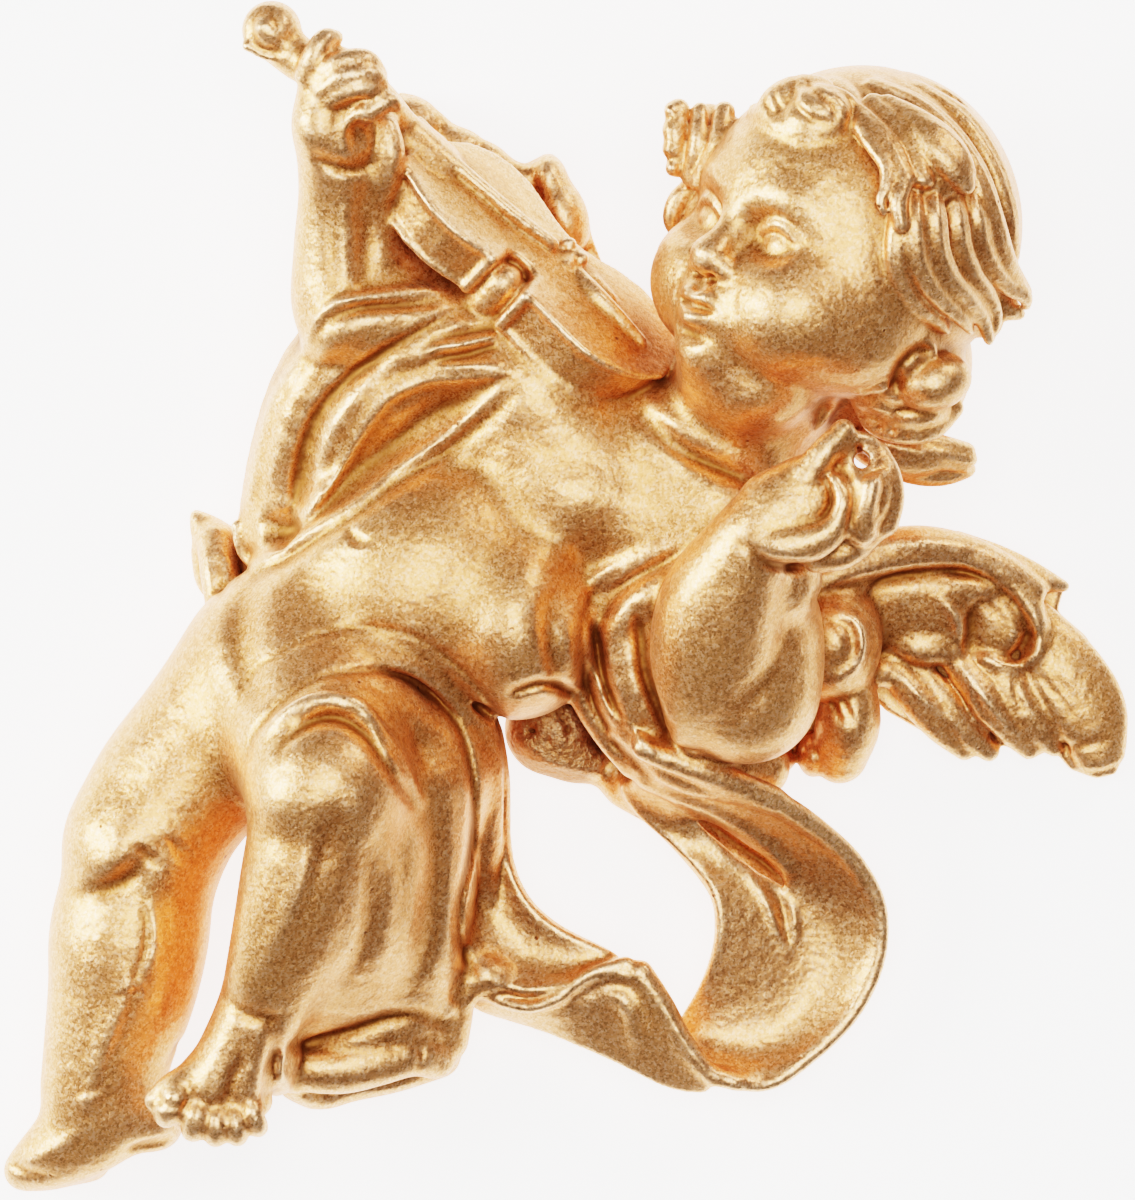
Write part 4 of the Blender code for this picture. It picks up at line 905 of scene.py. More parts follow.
    # the thick leading edge, undercut below
    clay.add(Limb([(29, 1.6, 12.6, 4.6), (34.5, 3.8, 12.6, 4), (39.6, 5.6, 12.2, 3.4), (45, 6.4, 11.4, 3),
        (50.5, 5.6, 10.2, 2.5), (55.2, 3.6, 9.2, 2.1), (58.8, 1.3, 8.2, 1.7)]), 0.6)
    clay.add(Limb([(52, 3.8, 9.6, 1.5), (55.4, 1.6, 9.2, 1.5), (58.2, -0.8, 8.8, 1.4),
        (59.6, -3, 8.4, 1.1)]), 0.7)
    clay.add(Lock([(49, 7.4, 8, 1.4, 1.2), (54.4, 5.2, 7.6, 1.8, 1.3), (59.4, 2.8, 7, 1.7, 1.2),
        (62.6, 1.7, 6.2, 0.6, 0.8)], (0.2, 0.5, 0.8), 3, 0.35), 0.4)
    clay.score([(31.5, 0.6, 0.3), (35.6, 2.2, 0.8), (40.4, 3.2, 1), (45.4, 3.7, 1), (50.4, 3.6, 1),
        (53.4, 2.2, 0.8), (56.4, 0.2, 0.5)], (0.3, 1.3), 7)
    clay.score([(38, 7.2, -0.2), (44, 7.2, -0.5), (50, 6.4, -0.2)], 0.9, 7)
    # coverts by the shoulder and the lower feathers
    clay.add(Egg((33, -5, 11.4), (6.6, 8, 7)), 1)
    clay.add(Egg((34, -4.6, 14.6), (4, 4.4, 4), 10), 0.8)
    clay.score([(34, -1.2, -0.3), (36.6, -2.8, -0.8), (37.3, -5.4, -0.9), (36.6, -8.2, -0.6),
        (34, -10.2, -0.2)], (0.5, 0.8), 8)
    clay.score([(33, -2.6, 0.2), (35.2, -4, 0.5), (35.4, -6.4, 0.4), (33.8, -8.4, 0.2)], 0.8, 8)
    clay.add(Lock([(36.4, -8.6, 8.8, 1.4, 1.8), (39.2, -9.4, 8.4, 1.6, 1.6), (41, -9.4, 8.2, 1.2, 1.2)],
        (0, 0, 1)), 0.8)
    clay.add(Lock([(35.6, -10.6, 9.4, 3, 4), (35.4, -15.2, 8.6, 4.1, 4.6), (34.4, -19.4, 6.4, 3.6, 3.8)],
        (0.1, -0.1, 1)), 0.4)
    clay.score([(34.2, -11.8, 0.2), (35.2, -13.8, 0.7), (35.9, -15.8, 0.1)], 0.28, 6)
    clay.score([(33.1, -12.2, 0.2), (34, -14.2, 0.7), (34.7, -15.6, 0.1)], 0.28, 6)
    clay.add(Egg((31, -19.6, 5.2), (2, 2.8, 4)), 0.4)
    clay.add(Egg((25.8, -20.4, 5), (3, 2, 4.2), 10), 0.4)


def lap_cloth(clay):
    clay.add(Egg((-25, -20, 13), (17, 15.2, 16), -8), 1.2)
    clay.add(Limb([(-22, -26, 14, 11), (-21.8, -38, 12, 10.2), (-22, -48, 9, 8)]), 2)
    clay.add(Limb([(-26.4, -25, 26.5, 7), (-26.8, -33, 25.8, 7), (-27.8, -41, 23, 6.4),
        (-30.8, -47, 19.5, 5.4)]), 4)
    clay.add(Limb([(-21.6, -25, 24, 6.2), (-22.4, -33, 23.2, 6.2), (-23.4, -41, 20.4, 5.8),
        (-25.8, -47.5, 16.5, 5.2)]), 3)
    clay.add(Limb([(-17.8, -24, 20.6, 5.4), (-18, -33, 19.6, 5.4), (-18.6, -41, 16.8, 5.2),
        (-20, -47.5, 13, 4.8)]), 3)
    out = ((-0.6, 0.2, 0.75), (-0.4, 0.4, 0.8), (-0.2, 0.5, 0.85), (0, 0.55, 0.85), (0.2, 0.5, 0.85),
        (0.4, 0.4, 0.8), (0.6, 0.2, 0.75), (0.65, 0.05, 0.75), (0.6, 0, 0.8), (0.5, 0, 0.85),
        (0.5, 0, 0.85), (0.4, 0, 0.9))
    # the wide outer band, the second fold and the cuff round the knee
    clay.add(Lock([(-41, -20.4, 17.6, 1.7, 1.2), (-39.6, -13.2, 23.2, 2.1, 1.3),
        (-35.6, -8.9, 26.5, 2.4, 1.3), (-30.3, -6.6, 28.1, 2.6, 1.3), (-24.6, -6.1, 28.1, 2.8, 1.3),
        (-19, -7.5, 26.5, 2.7, 1.3), (-14.2, -11.5, 22.8, 2.4, 1.3), (-10.6, -17, 19.4, 2.3, 1.3),
        (-9.9, -24, 16.4, 2.2, 1.3), (-10, -29.5, 13.6, 2.1, 1.2), (-10.2, -34.5, 11, 2, 1.2),
        (-9.2, -39.5, 8.4, 1.8, 1.2)], out), 0.5)
    clay.add(Limb([(-12, -19, 15, 3.4), (-11.4, -25, 12.6, 3), (-11.2, -31, 9.8, 2.8),
        (-11, -37, 7.6, 2.4)]), 1)
    clay.add(Lock([(-38.8, -19.6, 25.6, 1.2, 1.2), (-37.3, -14.6, 28.6, 1.8, 1.4),
        (-33.6, -11.5, 30.2, 2, 1.5), (-29, -10.3, 30.8, 2, 1.5), (-24.6, -10.8, 30.2, 2.2, 1.5),
        (-20.4, -13.2, 27.8, 2.5, 1.5), (-17, -17.2, 24.4, 2.7, 1.5), (-15, -22.4, 21.2, 2.6, 1.5),
        (-14.4, -28, 18.6, 2.2, 1.4), (-14.8, -36, 15.2, 1.8, 1.2)], out[:10]), 0.9)
    clay.add(Limb([(-38, -19.6, 29.8, 1.8), (-36.4, -16.4, 31.6, 2.2), (-33.6, -13.6, 32.4, 2.3),
        (-30.1, -12.6, 32.6, 2.4), (-26.8, -13.4, 32.4, 2.3), (-24, -17, 31, 2.3),
        (-21.2, -21.2, 28.6, 2.2), (-19.2, -25.6, 26, 2), (-18.6, -30, 23.4, 1.6)]), 1.5)
    clay.add(Limb([(-38.6, -19.6, 32, 0.8), (-37, -16.6, 34.8, 1), (-34.2, -13.8, 36.4, 1.1),
        (-30.1, -12.4, 37, 1.2), (-26.4, -13.1, 36.8, 1.2), (-23.4, -16.9, 35.4, 1.1),
        (-20.4, -21.5, 32.4, 1), (-18.4, -25.5, 29, 0.8)]), 1.2)
    for x, y, z in ((-36.8, -17.1, 35.4), (-35.1, -14.8, 36.6), (-32.4, -13.5, 37.4), (-30.6, -12.6, 37.8),
            (-27.6, -13.1, 37.6), (-25.2, -14.5, 37), (-22.2, -19, 34.6)):
        clay.add(Egg((x, y, z), (0.9, 0.5, 0.6), 40 + 30 * math.sin(5 * x)), 0.5)
    # the turned-under hem below the shin
    clay.add(Egg((-25, -54, 8), (11, 6, 8)), 1.5)
    clay.add(Egg((-35.4, -55.6, 8), (4, 4.4, 7)), 1)
    clay.add(Egg((-36.4, -56.4, 15.4), (3.2, 4.6, 6)), 2)
    clay.add(Egg((-36.6, -58.4, 14.6), (2.2, 4, 6)), 1)
    clay.add(Limb([(-32, -55.6, 12.6, 2.6), (-27, -55.2, 13.4, 2.8), (-21, -54, 12.5, 3)]), 1.5)
    clay.add(Limb([(-34.2, -51.4, 17.5, 3), (-31, -51, 17, 3.2), (-27.5, -49.6, 15.5, 3.6)]), 2)
    clay.add(Limb([(-33.4, -58.6, 13.2, 3.2), (-29.5, -58.8, 13.2, 3.4), (-24, -57.8, 12.6, 3.5),
        (-19.2, -57, 11.4, 3.2), (-16.6, -57.8, 10, 2.5)]), 0.5)
    clay.add(Limb([(-33.6, -60.2, 8.6, 3.2), (-31.2, -61.6, 7.4, 2.7), (-27.6, -60.6, 6.8, 2.8),
        (-22, -59, 6.4, 3.2), (-16.4, -57.4, 6.4, 3)]), 1)
    clay.add(Limb([(-33.6, -54.4, 16.6, 0.9), (-31, -53.2, 17.6, 1), (-28, -51.8, 18, 1.1),
        (-24.6, -49.4, 18.2, 1.1), (-21.6, -48.2, 17.4, 1.1), (-18.6, -49, 15.6, 1.1),
        (-15.2, -51.2, 12.8, 1.1)]), 1)
    clay.add(Limb([(-32, -54, 12, 3), (-27, -53, 12.5, 3.6), (-21.6, -51.4, 12, 4), (-17, -53, 9.5, 3.4)]),
        1.5)
    clay.add(Limb([(-16, -46, 10.5, 3.4), (-14.8, -51, 9.4, 3), (-15, -55.4, 8.6, 2.6)]), 1.2)
    clay.add(Limb([(-14, -40, 9.6, 2.4), (-12.6, -46.2, 10.2, 2.2), (-13, -49.6, 10.6, 1.8)]), 1)


def lap_folds(clay):
    clay.score([(-40.4, -20.4, 0.2), (-39, -16.8, 0.4), (-36.8, -13.9, 0.5), (-33.6, -11.2, 0.5),
        (-29.6, -9.4, 0.5), (-24.9, -8.9, 0.5), (-20.2, -9.6, 0.6), (-16.4, -12.2, 0.6),
        (-13.4, -16.4, 0.8), (-12.1, -21, 0.9), (-11.7, -26.2, 0.9), (-12.3, -32.6, 0.9),
        (-13.6, -38.8, 0.9), (-13.3, -43.4, 0.7), (-11.8, -47, 0.3)], (0.4, 0.5), 4)
    clay.score([(-41.6, -16, 0.1), (-39.9, -9.9, 0.25), (-36.1, -6.8, 0.3), (-31.3, -4.5, 0.3),
        (-25.6, -3.4, 0.3), (-20, -4.2, 0.3), (-15.2, -6.9, 0.4), (-11, -11, 0.5), (-7.8, -15.6, 0.5)],
        0.3, 8)
    clay.score([(-36, -19.4, 0.1), (-34.8, -17.4, 0.6), (-32.4, -15.5, 0.9), (-29, -14.7, 1),
        (-25.9, -16.2, 1), (-22.6, -20.4, 0.8), (-19.8, -24.8, 0.3)], (0.5, 0.7), 20)
    clay.cut(Egg((-10.3, -14, 21.5), (2.5, 0.7, 2.4), -40), 0.3)
    clay.score([(-19.2, -21.6, 0.2), (-17.6, -26, 0.6), (-16.8, -31, 0.7), (-17.2, -37, 0.7),
        (-18.2, -43, 0.6), (-19.6, -47, 0.2)], (1.8, 1.4), 8)
    clay.score([(-22.4, -30, 0), (-21.8, -35, -0.3), (-22.4, -41, -0.4), (-23.6, -46, -0.2)], 1.2, 10)
    clay.score([(-25, -33, 0.1), (-24.8, -38, 0.35), (-26, -44, 0.35), (-28, -48, 0.2)], 0.9, 10)
    clay.score([(-16, -38, 0), (-16.8, -42, 0.3), (-18.4, -46.4, 0.2)], 0.6, 8)
    clay.score([(-34.4, -56.2, 0.2), (-31, -55.2, 0.4), (-27, -54, 0.5), (-22.6, -52.4, 0.5),
        (-18.4, -52.2, 0.5), (-15.8, -53.4, 0.3)], 0.7, 8)
    clay.score([(-31, -62.4, 0.1), (-28.4, -61, 0.5), (-24, -60.6, 0.5), (-18.6, -59.6, 0.3)], 0.6, 5, 14)
    clay.score([(-35.3, -56.2, -0.4), (-35.8, -58.6, -0.6), (-35, -61.4, -0.5), (-32.4, -63.6, -0.3)],
        0.6, 6)
    clay.score([(-19.2, -55.6, 0.2), (-18.4, -57, 0.5), (-18.8, -58.8, 0.2)], 0.5, 8)
    clay.score([(-22.4, -55.4, 0.3), (-21.8, -56.4, 0.2)], 0.4, 8)


CLOTH_THICK = 2


def sheet(rails):
    """A cloth band between rails, each a list of points, thickened about its middle."""
    bm = bmesh.new()
    rows = [[bm.verts.new(p) for p in rail] for rail in rails]
    for one, two in zip(rows, rows[1:]):
        for i in range(len(one) - 1):
            bm.faces.new((one[i], one[i + 1], two[i + 1], two[i]))
    mesh = bpy.data.meshes.new("band")
    bm.to_mesh(mesh)
    bm.free()
    obj = bpy.data.objects.new("band", mesh)
    bpy.context.scene.collection.objects.link(obj)
    fine = obj.modifiers.new("fine", "SUBSURF")
    fine.levels = fine.render_levels = 2
    wall = obj.modifiers.new("wall", "SOLIDIFY")
    wall.thickness = CLOTH_THICK
    wall.offset = 0
    wall.use_even_offset = True
    made = bpy.data.meshes.new_from_object(obj.evaluated_get(bpy.context.evaluated_depsgraph_get()))
    bpy.data.objects.remove(obj)
    bpy.data.meshes.remove(mesh)
    bm = bmesh.new()
    bm.from_mesh(made)
    bpy.data.meshes.remove(made)
    return Solid.of_bmesh(bm)


def ribbon(clay):
    clay.add(sheet([
        [(-8.6, -14, 14), (-7.9, -18, 13), (-7.2, -23, 12), (-7.5, -28.5, 11), (-7.2, -33, 10.5),
         (-5, -38.2, 10.5), (-0.4, -41.6, 11), (3.6, -43.2, 11), (6.6, -44.6, 10.4)],
        [(-10.4, -14.5, 14), (-10.2, -18.5, 12.6), (-9.7, -23.5, 10.8), (-9.8, -29, 9.4),
         (-10.2, -35, 8.4), (-8.8, -41.2, 8.2), (-3.8, -45.6, 8.8), (1.8, -46, 10.4), (6.6, -45.4, 10.6)],
        [(-12.4, -15, 15), (-12.2, -19, 14.2), (-12.2, -24, 13), (-12.3, -30, 12), (-13.4, -37, 11),
         (-13, -44.4, 11), (-8.4, -50, 11.5), (-1.5, -50, 12.6), (6.4, -45.9, 12.2)]]), 0.5)
    clay.add(sheet([
        [(-12.4, -47.6, 9), (-7.6, -50.9, 10.3), (-1.6, -50.2, 11.9), (4, -46.2, 12.9), (9, -46.4, 13),
         (12.2, -50.2, 12.4), (14.8, -55, 11.8), (18.6, -59.4, 10.8)],
        [(-12.2, -49.6, 7.6), (-7.6, -51.8, 8.4), (-2.2, -52.6, 9.2), (2.4, -52.2, 10.2),
         (6.8, -52.8, 10.6), (10.3, -55.4, 10), (13.6, -58.4, 9.4), (18.2, -60.8, 9.2)],
        [(-12, -51, 5.4), (-8.2, -52, 5.8), (-3.2, -53.6, 6.4), (1.4, -55.9, 7), (5.4, -57.6, 7.4),
         (9.4, -59.7, 7.4), (12.9, -61.6, 7.4), (18, -62, 8)]]), 0.5)
    clay.add(Egg((-10.2, -47.4, 10.4), (3.2, 2.6, 2.6)), 1.2)
    clay.add(sheet([
        [(13.4, -54, 3.6), (16, -50.2, 6), (17.8, -46, 8.2), (18.7, -42.4, 9.6), (18.7, -38.6, 10.2),
         (17.6, -36, 10.2), (15.2, -33.2, 9.6), (12.2, -30.2, 9.2), (8.8, -27.3, 9), (6.4, -22.4, 9)],
        [(15.6, -56.4, 5.4), (20.6, -54.4, 5.8), (23.8, -50.2, 6.4), (25.4, -46.2, 7),
         (25.6, -41.4, 7.6), (24.2, -37, 8), (21.2, -33, 8.2), (17.6, -29.6, 8.6), (13.4, -26.6, 10.4),
         (9, -22.5, 12.5)],
        [(17.2, -58.2, 7.4), (23.2, -57.8, 5.6), (28.2, -54, 4.8), (31.4, -49, 4.8), (32.6, -43, 5.4),
         (31.6, -37.8, 6.6), (28.6, -33.2, 8.6), (24, -29, 11.6), (19, -25.8, 14.6), (12.8, -21.8, 18)],
        [(18.4, -60.2, 9.6), (25, -61, 8), (31.1, -57.2, 7.4), (36.8, -51, 7.2), (39.4, -44.8, 7.6),
         (39.4, -38.6, 8.8), (36.5, -33.4, 10.8), (31.6, -28.8, 13.6), (25.8, -25.2, 17),
         (16.6, -21.2, 21)]]), 0.5)
    clay.add(Limb([(18.6, -60.2, 10, 1), (25, -61, 8.5, 0.95), (31, -57.2, 7.9, 0.95),
        (36.7, -51.1, 7.7, 0.95), (39.3, -44.8, 8.1, 0.95), (39.3, -38.7, 9.3, 1), (36.5, -33.3, 11.3, 1.1),
        (31.6, -28.8, 14.2, 1.3), (26, -25.2, 17.6, 1.5), (17, -21.4, 21.6, 1.7), (9.5, -18.6, 22.6, 1.6)]),
        0.8)
    clay.add(Limb([(9.2, -46.8, 12.4, 1.6), (12, -50.8, 11.7, 1.4), (14.6, -55.5, 10.9, 1.2),
        (17.8, -59.4, 10.2, 1), (21.4, -60.9, 9.8, 0.9)]), 0.8)
    clay.add(Limb([(-11, -49, 10.4, 0.7), (-8, -50.6, 11, 0.8), (-4.6, -51.2, 11.8, 0.8),
        (-1, -49.9, 12.4, 0.85), (3, -47, 12.8, 0.9), (7.4, -45.7, 12.6, 1)]), 0.6)
    clay.score([(5, -49, -0.3), (7.6, -51.4, -0.8), (8.6, -55, -0.5)], 1.1, 4)
    clay.score([(1.2, -49.8, 0.4), (4.8, -48.4, 0.7), (8, -48.6, 0.3)], 1, 6)
    # hollow of the wide fold, with its lips
    clay.add(Limb([(8, -22.5, 5, 4), (14, -26, 4.4, 3.9), (20, -30, 3.6, 3.6), (25, -34.5, 3, 3.4),
        (27.4, -40, 2.6, 3), (27, -45, 2.2, 2.4)]), 2.5)
    clay.add(Limb([(10, -22.4, 15.6, 1.2), (15, -24.6, 14.6, 1.4), (20.4, -27.2, 12.8, 1.4),
        (25, -30.6, 10.8, 1.3), (27.6, -33.6, 9.2, 1)]), 1.4)
    clay.score([(14.6, -26.6, 0.4), (18.9, -29, 1.3), (22.2, -31.4, 1.8), (25.2, -33.6, 1.9),
        (26.8, -35.6, 1.3), (27.8, -38.8, 0.7), (27.8, -42.6, 0.3)], (0.7, 1.3), 2)
    clay.score([(25, -34.6, -0.3), (27, -36.6, -0.8), (28.4, -39.6, -0.8), (28.6, -43, -0.3)],
        (0.45, 0.5), 2)
    clay.score([(23.2, -35, -0.2), (25.2, -38.4, -0.6), (26.4, -41.6, -0.6), (27.6, -44.6, -0.2)],
        (0.5, 0.4), 2)


def arm_scarf(clay):
    clay.add(Limb([(18, 5.5, 19, 8.2), (11.6, 0.8, 18, 8.6), (10, -8.5, 17.6, 8.2),
        (12.5, -17, 14.5, 6.8)]), 1.5)
    clay.add(Egg((13, -10, 8), (9.5, 12, 9)), 2)
    out = ((-0.2, 0.3, 0.9), (-0.3, 0.4, 0.85), (-0.45, 0.45, 0.75), (-0.6, 0.35, 0.7), (-0.7, 0.1, 0.7),
        (-0.7, -0.1, 0.7), (-0.65, -0.2, 0.7), (-0.6, -0.3, 0.75), (-0.5, -0.4, 0.75))
    clay.add(Lock([(17.6, 8.4, 28, 1.2, 1), (12.6, 7, 27.2, 1.5, 1.2), (7.4, 4.4, 25.6, 1.6, 1.3),
        (3.2, 1.6, 23.6, 1.6, 1.3), (1.1, -2.6, 21.4, 1.6, 1.3), (0.6, -7.2, 19.4, 1.7, 1.3),
        (1.6, -11.8, 17.8, 1.7, 1.3), (4.4, -16.6, 16.2, 1.7, 1.3), (8, -21, 15, 1.6, 1.2)], out), 0.8)
    clay.add(Limb([(16.6, 6.2, 27.4, 1.6), (13.4, 2.6, 27, 2), (9.6, 0, 26, 2.2), (6.6, -3.4, 24.4, 1.9),
        (6.6, -8, 22.6, 1.6), (8, -13, 20.8, 1.5), (10.2, -17.4, 19.6, 1.5), (13.4, -20.8, 18.8, 1.5)]),
        1.2)
    clay.add(Limb([(3.6, -1.4, 22.8, 1.3), (2.9, -5, 21.2, 1.3), (3.4, -9.6, 19.8, 1.3),
        (5.2, -14, 18.4, 1.3)]), 0.7)
    clay.add(Limb([(12.8, -17.6, 21, 1), (15.4, -18.4, 23.2, 1.1), (18.6, -17.8, 24.2, 1),
        (21.2, -18.6, 22.8, 0.8)]), 0.6)
    clay.add(Limb([(8.2, -16.6, 19.4, 1.5), (11, -20, 19, 1.7), (15, -22.4, 19, 1.9),
        (20.4, -23.4, 18.6, 1.9), (25.6, -25, 17.6, 1.5)]), 1.2)
    clay.add(Limb([(12, -17, 14, 5), (18, -19, 13, 5.5), (24, -21, 11, 4)]), 2)
    clay.add(Egg((17, -18.6, 18.4), (4.6, 3.2, 5)), 1)


def scarf_folds(clay):
    clay.score([(8.4, 5.2, 0.1), (5.6, 3.2, 0.5), (3.4, 1.3, 0.6), (2, -1.9, 0.6), (1.5, -4.8, 0.6),
        (1.8, -8.4, 0.6), (3, -12.6, 0.7), (4.9, -16.2, 0.5)], (0.9, 0.45), 10)
    clay.score([(3, -2.6, 0.3), (3.9, -6, 1.2), (4.6, -9.6, 1.6), (6, -13.4, 1.4), (6.8, -15, 0.4)],
        (0.45, 0.6), 10)
    clay.score([(8.6, -1.2, 0.3), (9.2, -4.4, 1.2), (9.6, -8.6, 1.5), (11.2, -13, 1.4), (12.8, -16.4, 0.8)],
        (0.6, 0.9), 12, 30)
    clay.score([(7.4, -15.4, -0.3), (8.6, -16.6, -0.5), (10.6, -19, -0.4)], 0.4, 10)
    clay.score([(5.4, -17.6, 0.5), (7.6, -19.6, 0.6), (10.4, -21.8, 0.3)], 0.5, 10)
    clay.score([(-2.6, -0.6, 0.3), (-2.4, -5.6, 0.8), (-1.6, -9.6, 0.6)], (1.6, 0.8), 8)


def rough_back(clay):
    clay.add(Egg((-1.4, -16, 4.6), (6.6, 6.2, 6.2), 20), 0.5)
    clay.add(Egg((1.6, -19.4, 3.8), (5.4, 3.8, 5)), 0.8)
    clay.add(Egg((-3, -13.6, 6.6), (3.4, 3, 4.2)), 0.8)
    clay.add(Lock([(-4.4, -18.6, 8, 1.6, 1), (0.6, -19.2, 8.6, 1.8, 1), (3.6, -20.4, 7.6, 1.4, 0.9)],
        (0, 0, 1)), 1)
    for x, y, z, a, b, turn in ((-4.3, -16.5, 9.4, 0.8, 0.35, 15), (-0.6, -14.8, 10.6, 0.9, 0.35, -20),
            (0, -16.4, 10.2, 0.4, 0.8, 10), (-2.4, -17.6, 9.8, 0.5, 0.3, 40),
            (2.2, -17.6, 9.6, 0.5, 0.35, -30), (-3.2, -12.6, 10.4, 0.6, 0.25, 10)):
        clay.cut(Egg((x, y, z), (a, b, 0.8), turn), 0.4)
    clay.score([(-6, -17.8, -0.3), (-2.4, -20.4, -0.5), (3.6, -22, -0.4)], 0.7, 2, 12)
    clay.score([(-6.6, -11.4, 0.8), (-2.8, -10.4, 1.1), (0.8, -11.8, 1), (2.6, -15.6, 0.8),
        (4.4, -19, 0.5)], 0.5, 4)


def comb(clay, one, two, count, depth, width, low):
    """Ridges and grooves by turns above a level, spread between two lines of (x, y)."""
    one, two = (spline(np.hstack([np.asarray(line, float), np.zeros((len(line), 2))]), 1)[:,
        :2] for line in (one, two))
    for k in range(count):
        t = k / max(count - 1, 1)
        rows = []
        for s in np.linspace(0, 1, 9):
            a, b = (line[int(round(s * (len(line) - 1)))] for line in (one, two))
            x, y = a + t * (b - a)
            rows.append((x, y, depth * math.sin(math.pi * min(1, 0.12 + s * 0.8)) * (1 if k % 2 else -0.7)))
        clay.score(rows, width, low)


def feet(clay):
    clay.add(Limb([(-66.8, -72.6, 4.4, 1.5), (-68.6, -73.2, 3.8, 1.2)]), 0.3)
    clay.cut(Egg((-50.8, -68.6, 11.5), (4.6, 0.9, 1.6), 8), 1)
    clay.add(Limb([(-40, -51.5, 26.8, 1.8), (-42.4, -56, 26.2, 1.6), (-45.2, -61, 25, 1.5)]), 2.2)
    clay.add(Limb([(-38.6, -54, 26.2, 1.5), (-39.6, -58, 25.8, 1.4), (-40.2, -62, 24.6, 1.3)]), 1.8)
    clay.add(Limb([(-46, -59.6, 23.8, 2.4), (-49.6, -61.4, 23.8, 2.1), (-51.4, -62.6, 23.4, 1.6)]), 0.9)
    for x, y, r in ((-50, -64.2, 1.9), (-46.8, -66.2, 1.65), (-44, -67, 1.5), (-41.3, -67, 1.4),
            (-38.7, -65.9, 1.35)):
        back = (-42.9 + (x + 42.9) * 0.8, y + 3.2)
        clay.add(Limb([(*back, 24.4, r * 1.1), ((x + back[0]) / 2, y + 1.4, 25.2, r * 0.95),
            (x, y, 23.8, r), (x, y - 0.2, 22.4, r * 0.8)]), 0.35)
    clay.add(Egg((-43.6, -63.8, 20), (6.8, 3, 3.4), 10), 1)
    clay.score([(-51.6, -60.4, 0), (-50.6, -62.8, 0.45), (-48, -63.2, 0.3), (-46.6, -62.6, 0)], 0.4, 18)
    clay.score([(-49.4, -64.9, 0.3), (-49, -66.4, 0.4)], 0.35, 18)
    clay.score([(-37, -52.4, 0.2), (-36.6, -55.6, 0.5), (-37, -59.2, 0.5), (-37.8, -62, 0.3)], 0.8, 14)
    clay.score([(-40.4, -56.6, 0.1), (-41.4, -59, 0.5), (-42.4, -62, 0.4)], 0.6, 20)
    clay.score([(-42, -50.4, 0.3), (-39.6, -51.8, 0.7), (-37.2, -52.2, 0.6)], (1.2, 1), 20)


def fiddle_hand(clay):
    clay.add(Limb([(-27.8, 56.5, 32.4, 2.2), (-26.4, 59.2, 34.4, 1.7), (-24, 61.2, 35.4, 1.5),
        (-22.2, 62, 35.4, 1.25), (-21.4, 61.6, 34.9, 1.05)]), 0.6)
    clay.add(Limb([(-32.2, 65.2, 33.4, 1.8), (-31.3, 68, 34.6, 1.6), (-30, 69.9, 34.4, 1.35),
        (-28.8, 70, 33.6, 1)]), 0.4)
    clay.add(Limb([(-31, 64.6, 34.2, 1.5), (-28, 66.9, 35.8, 1.5), (-25, 67, 35.4, 1.5),
        (-23.5, 65.4, 34.2, 1.2)]), 0.3)
    clay.add(Limb([(-30.6, 63.2, 34.8, 1.3), (-27.3, 65.2, 36.6, 1.35), (-24.3, 65.2, 36, 1.3),
        (-23, 64, 35, 1)]), 0.3)
    clay.add(Limb([(-29.8, 61.8, 34.8, 1.2), (-27, 63.4, 36.4, 1.25), (-24.5, 63.6, 36.2, 1.2),
        (-23.4, 62.8, 35.4, 0.9)]), 0.3)
    clay.add(Egg((-26.6, 62.2, 33.6), (2.4, 1.4, 2.2), 20), 0.4)
    clay.cut(Egg((-25.8, 57.2, 35.6), (1.6, 2.4, 2.2), 8), 1.2)
    clay.score([(-31.6, 55.6, 0.2), (-29.6, 54.2, 0.8), (-26.6, 53.6, 0.9), (-24.4, 54.4, 0.4)],
        (1, 0.7), 22)
    clay.score([(-29.4, 51.5, 0.1), (-29.4, 46, 0.35), (-29.2, 40, 0.2)], 1, 20)
    clay.score([(-26, 50.5, 0.2), (-25.4, 45, 0.8), (-25.6, 40, 0.6)], 1.6, 20)


# ---------------------------------------------------------------- pieces

# the order in which the figure is built up
MODELLED = (torso, feet, extended_leg_marks, bent_leg_marks, fiddle_hand, far_wing, near_wing, rough_back,
            shawl, shawl_folds, lap_cloth, ribbon, arm_scarf, lap_folds, scarf_folds, violin, bow_hand,
            head, hair)

# each piece's part of the plan, lowest and highest X then Y, and its share of the fineness
PIECES = {
    "face": ((12, 37), (14, 70), 0.95),
    "curls": ((37, 64), (14, 70), 0.95),
    "fiddle": ((-48, 12), (22, 76), 1.1),
    "bust": ((-54, 12), (-6, 22), 1.1),
    "bow_arm": ((12, 44), (-24, 14), 1.0),
    "wing": ((44, 74), (-24, 14), 1.1),
    "lap": ((-68, 12), (-34, -6), 1.1),
    "legs": ((-74, -26), (-77, -34), 1.1),
    "hem": ((-26, 12), (-67, -34), 1.1),
    "ribbon_end": ((12, 44), (-67, -24), 1.1),
}
OUTER = ((-54, 62), (-74, 74))  # sides beyond these are the figure's own, and aren't cut
FLOOR, TOP = -2.0, 50.0  # the block of clay, lowest and highest Z
MARGIN = 3.2  # how far a piece's clay goes on past its rectangle
OVERLAP = 1.0  # how far neighbouring pieces run into each other
# From these depths the finish paints browner hollows (patina and painted shade) and lighter ridges (wear
# and painted highlight).
HOLLOWS = (("close", 0.7), ("broad", 2.2))  # the widths of hollow that the finish tells apart
CRUMB = 200  # a loose shell of fewer points is dropped


def open_side(axis, at):
    """Whether a side of a piece's rectangle faces no neighbour."""
    return at < OUTER[axis][0] or at > OUTER[axis][1]


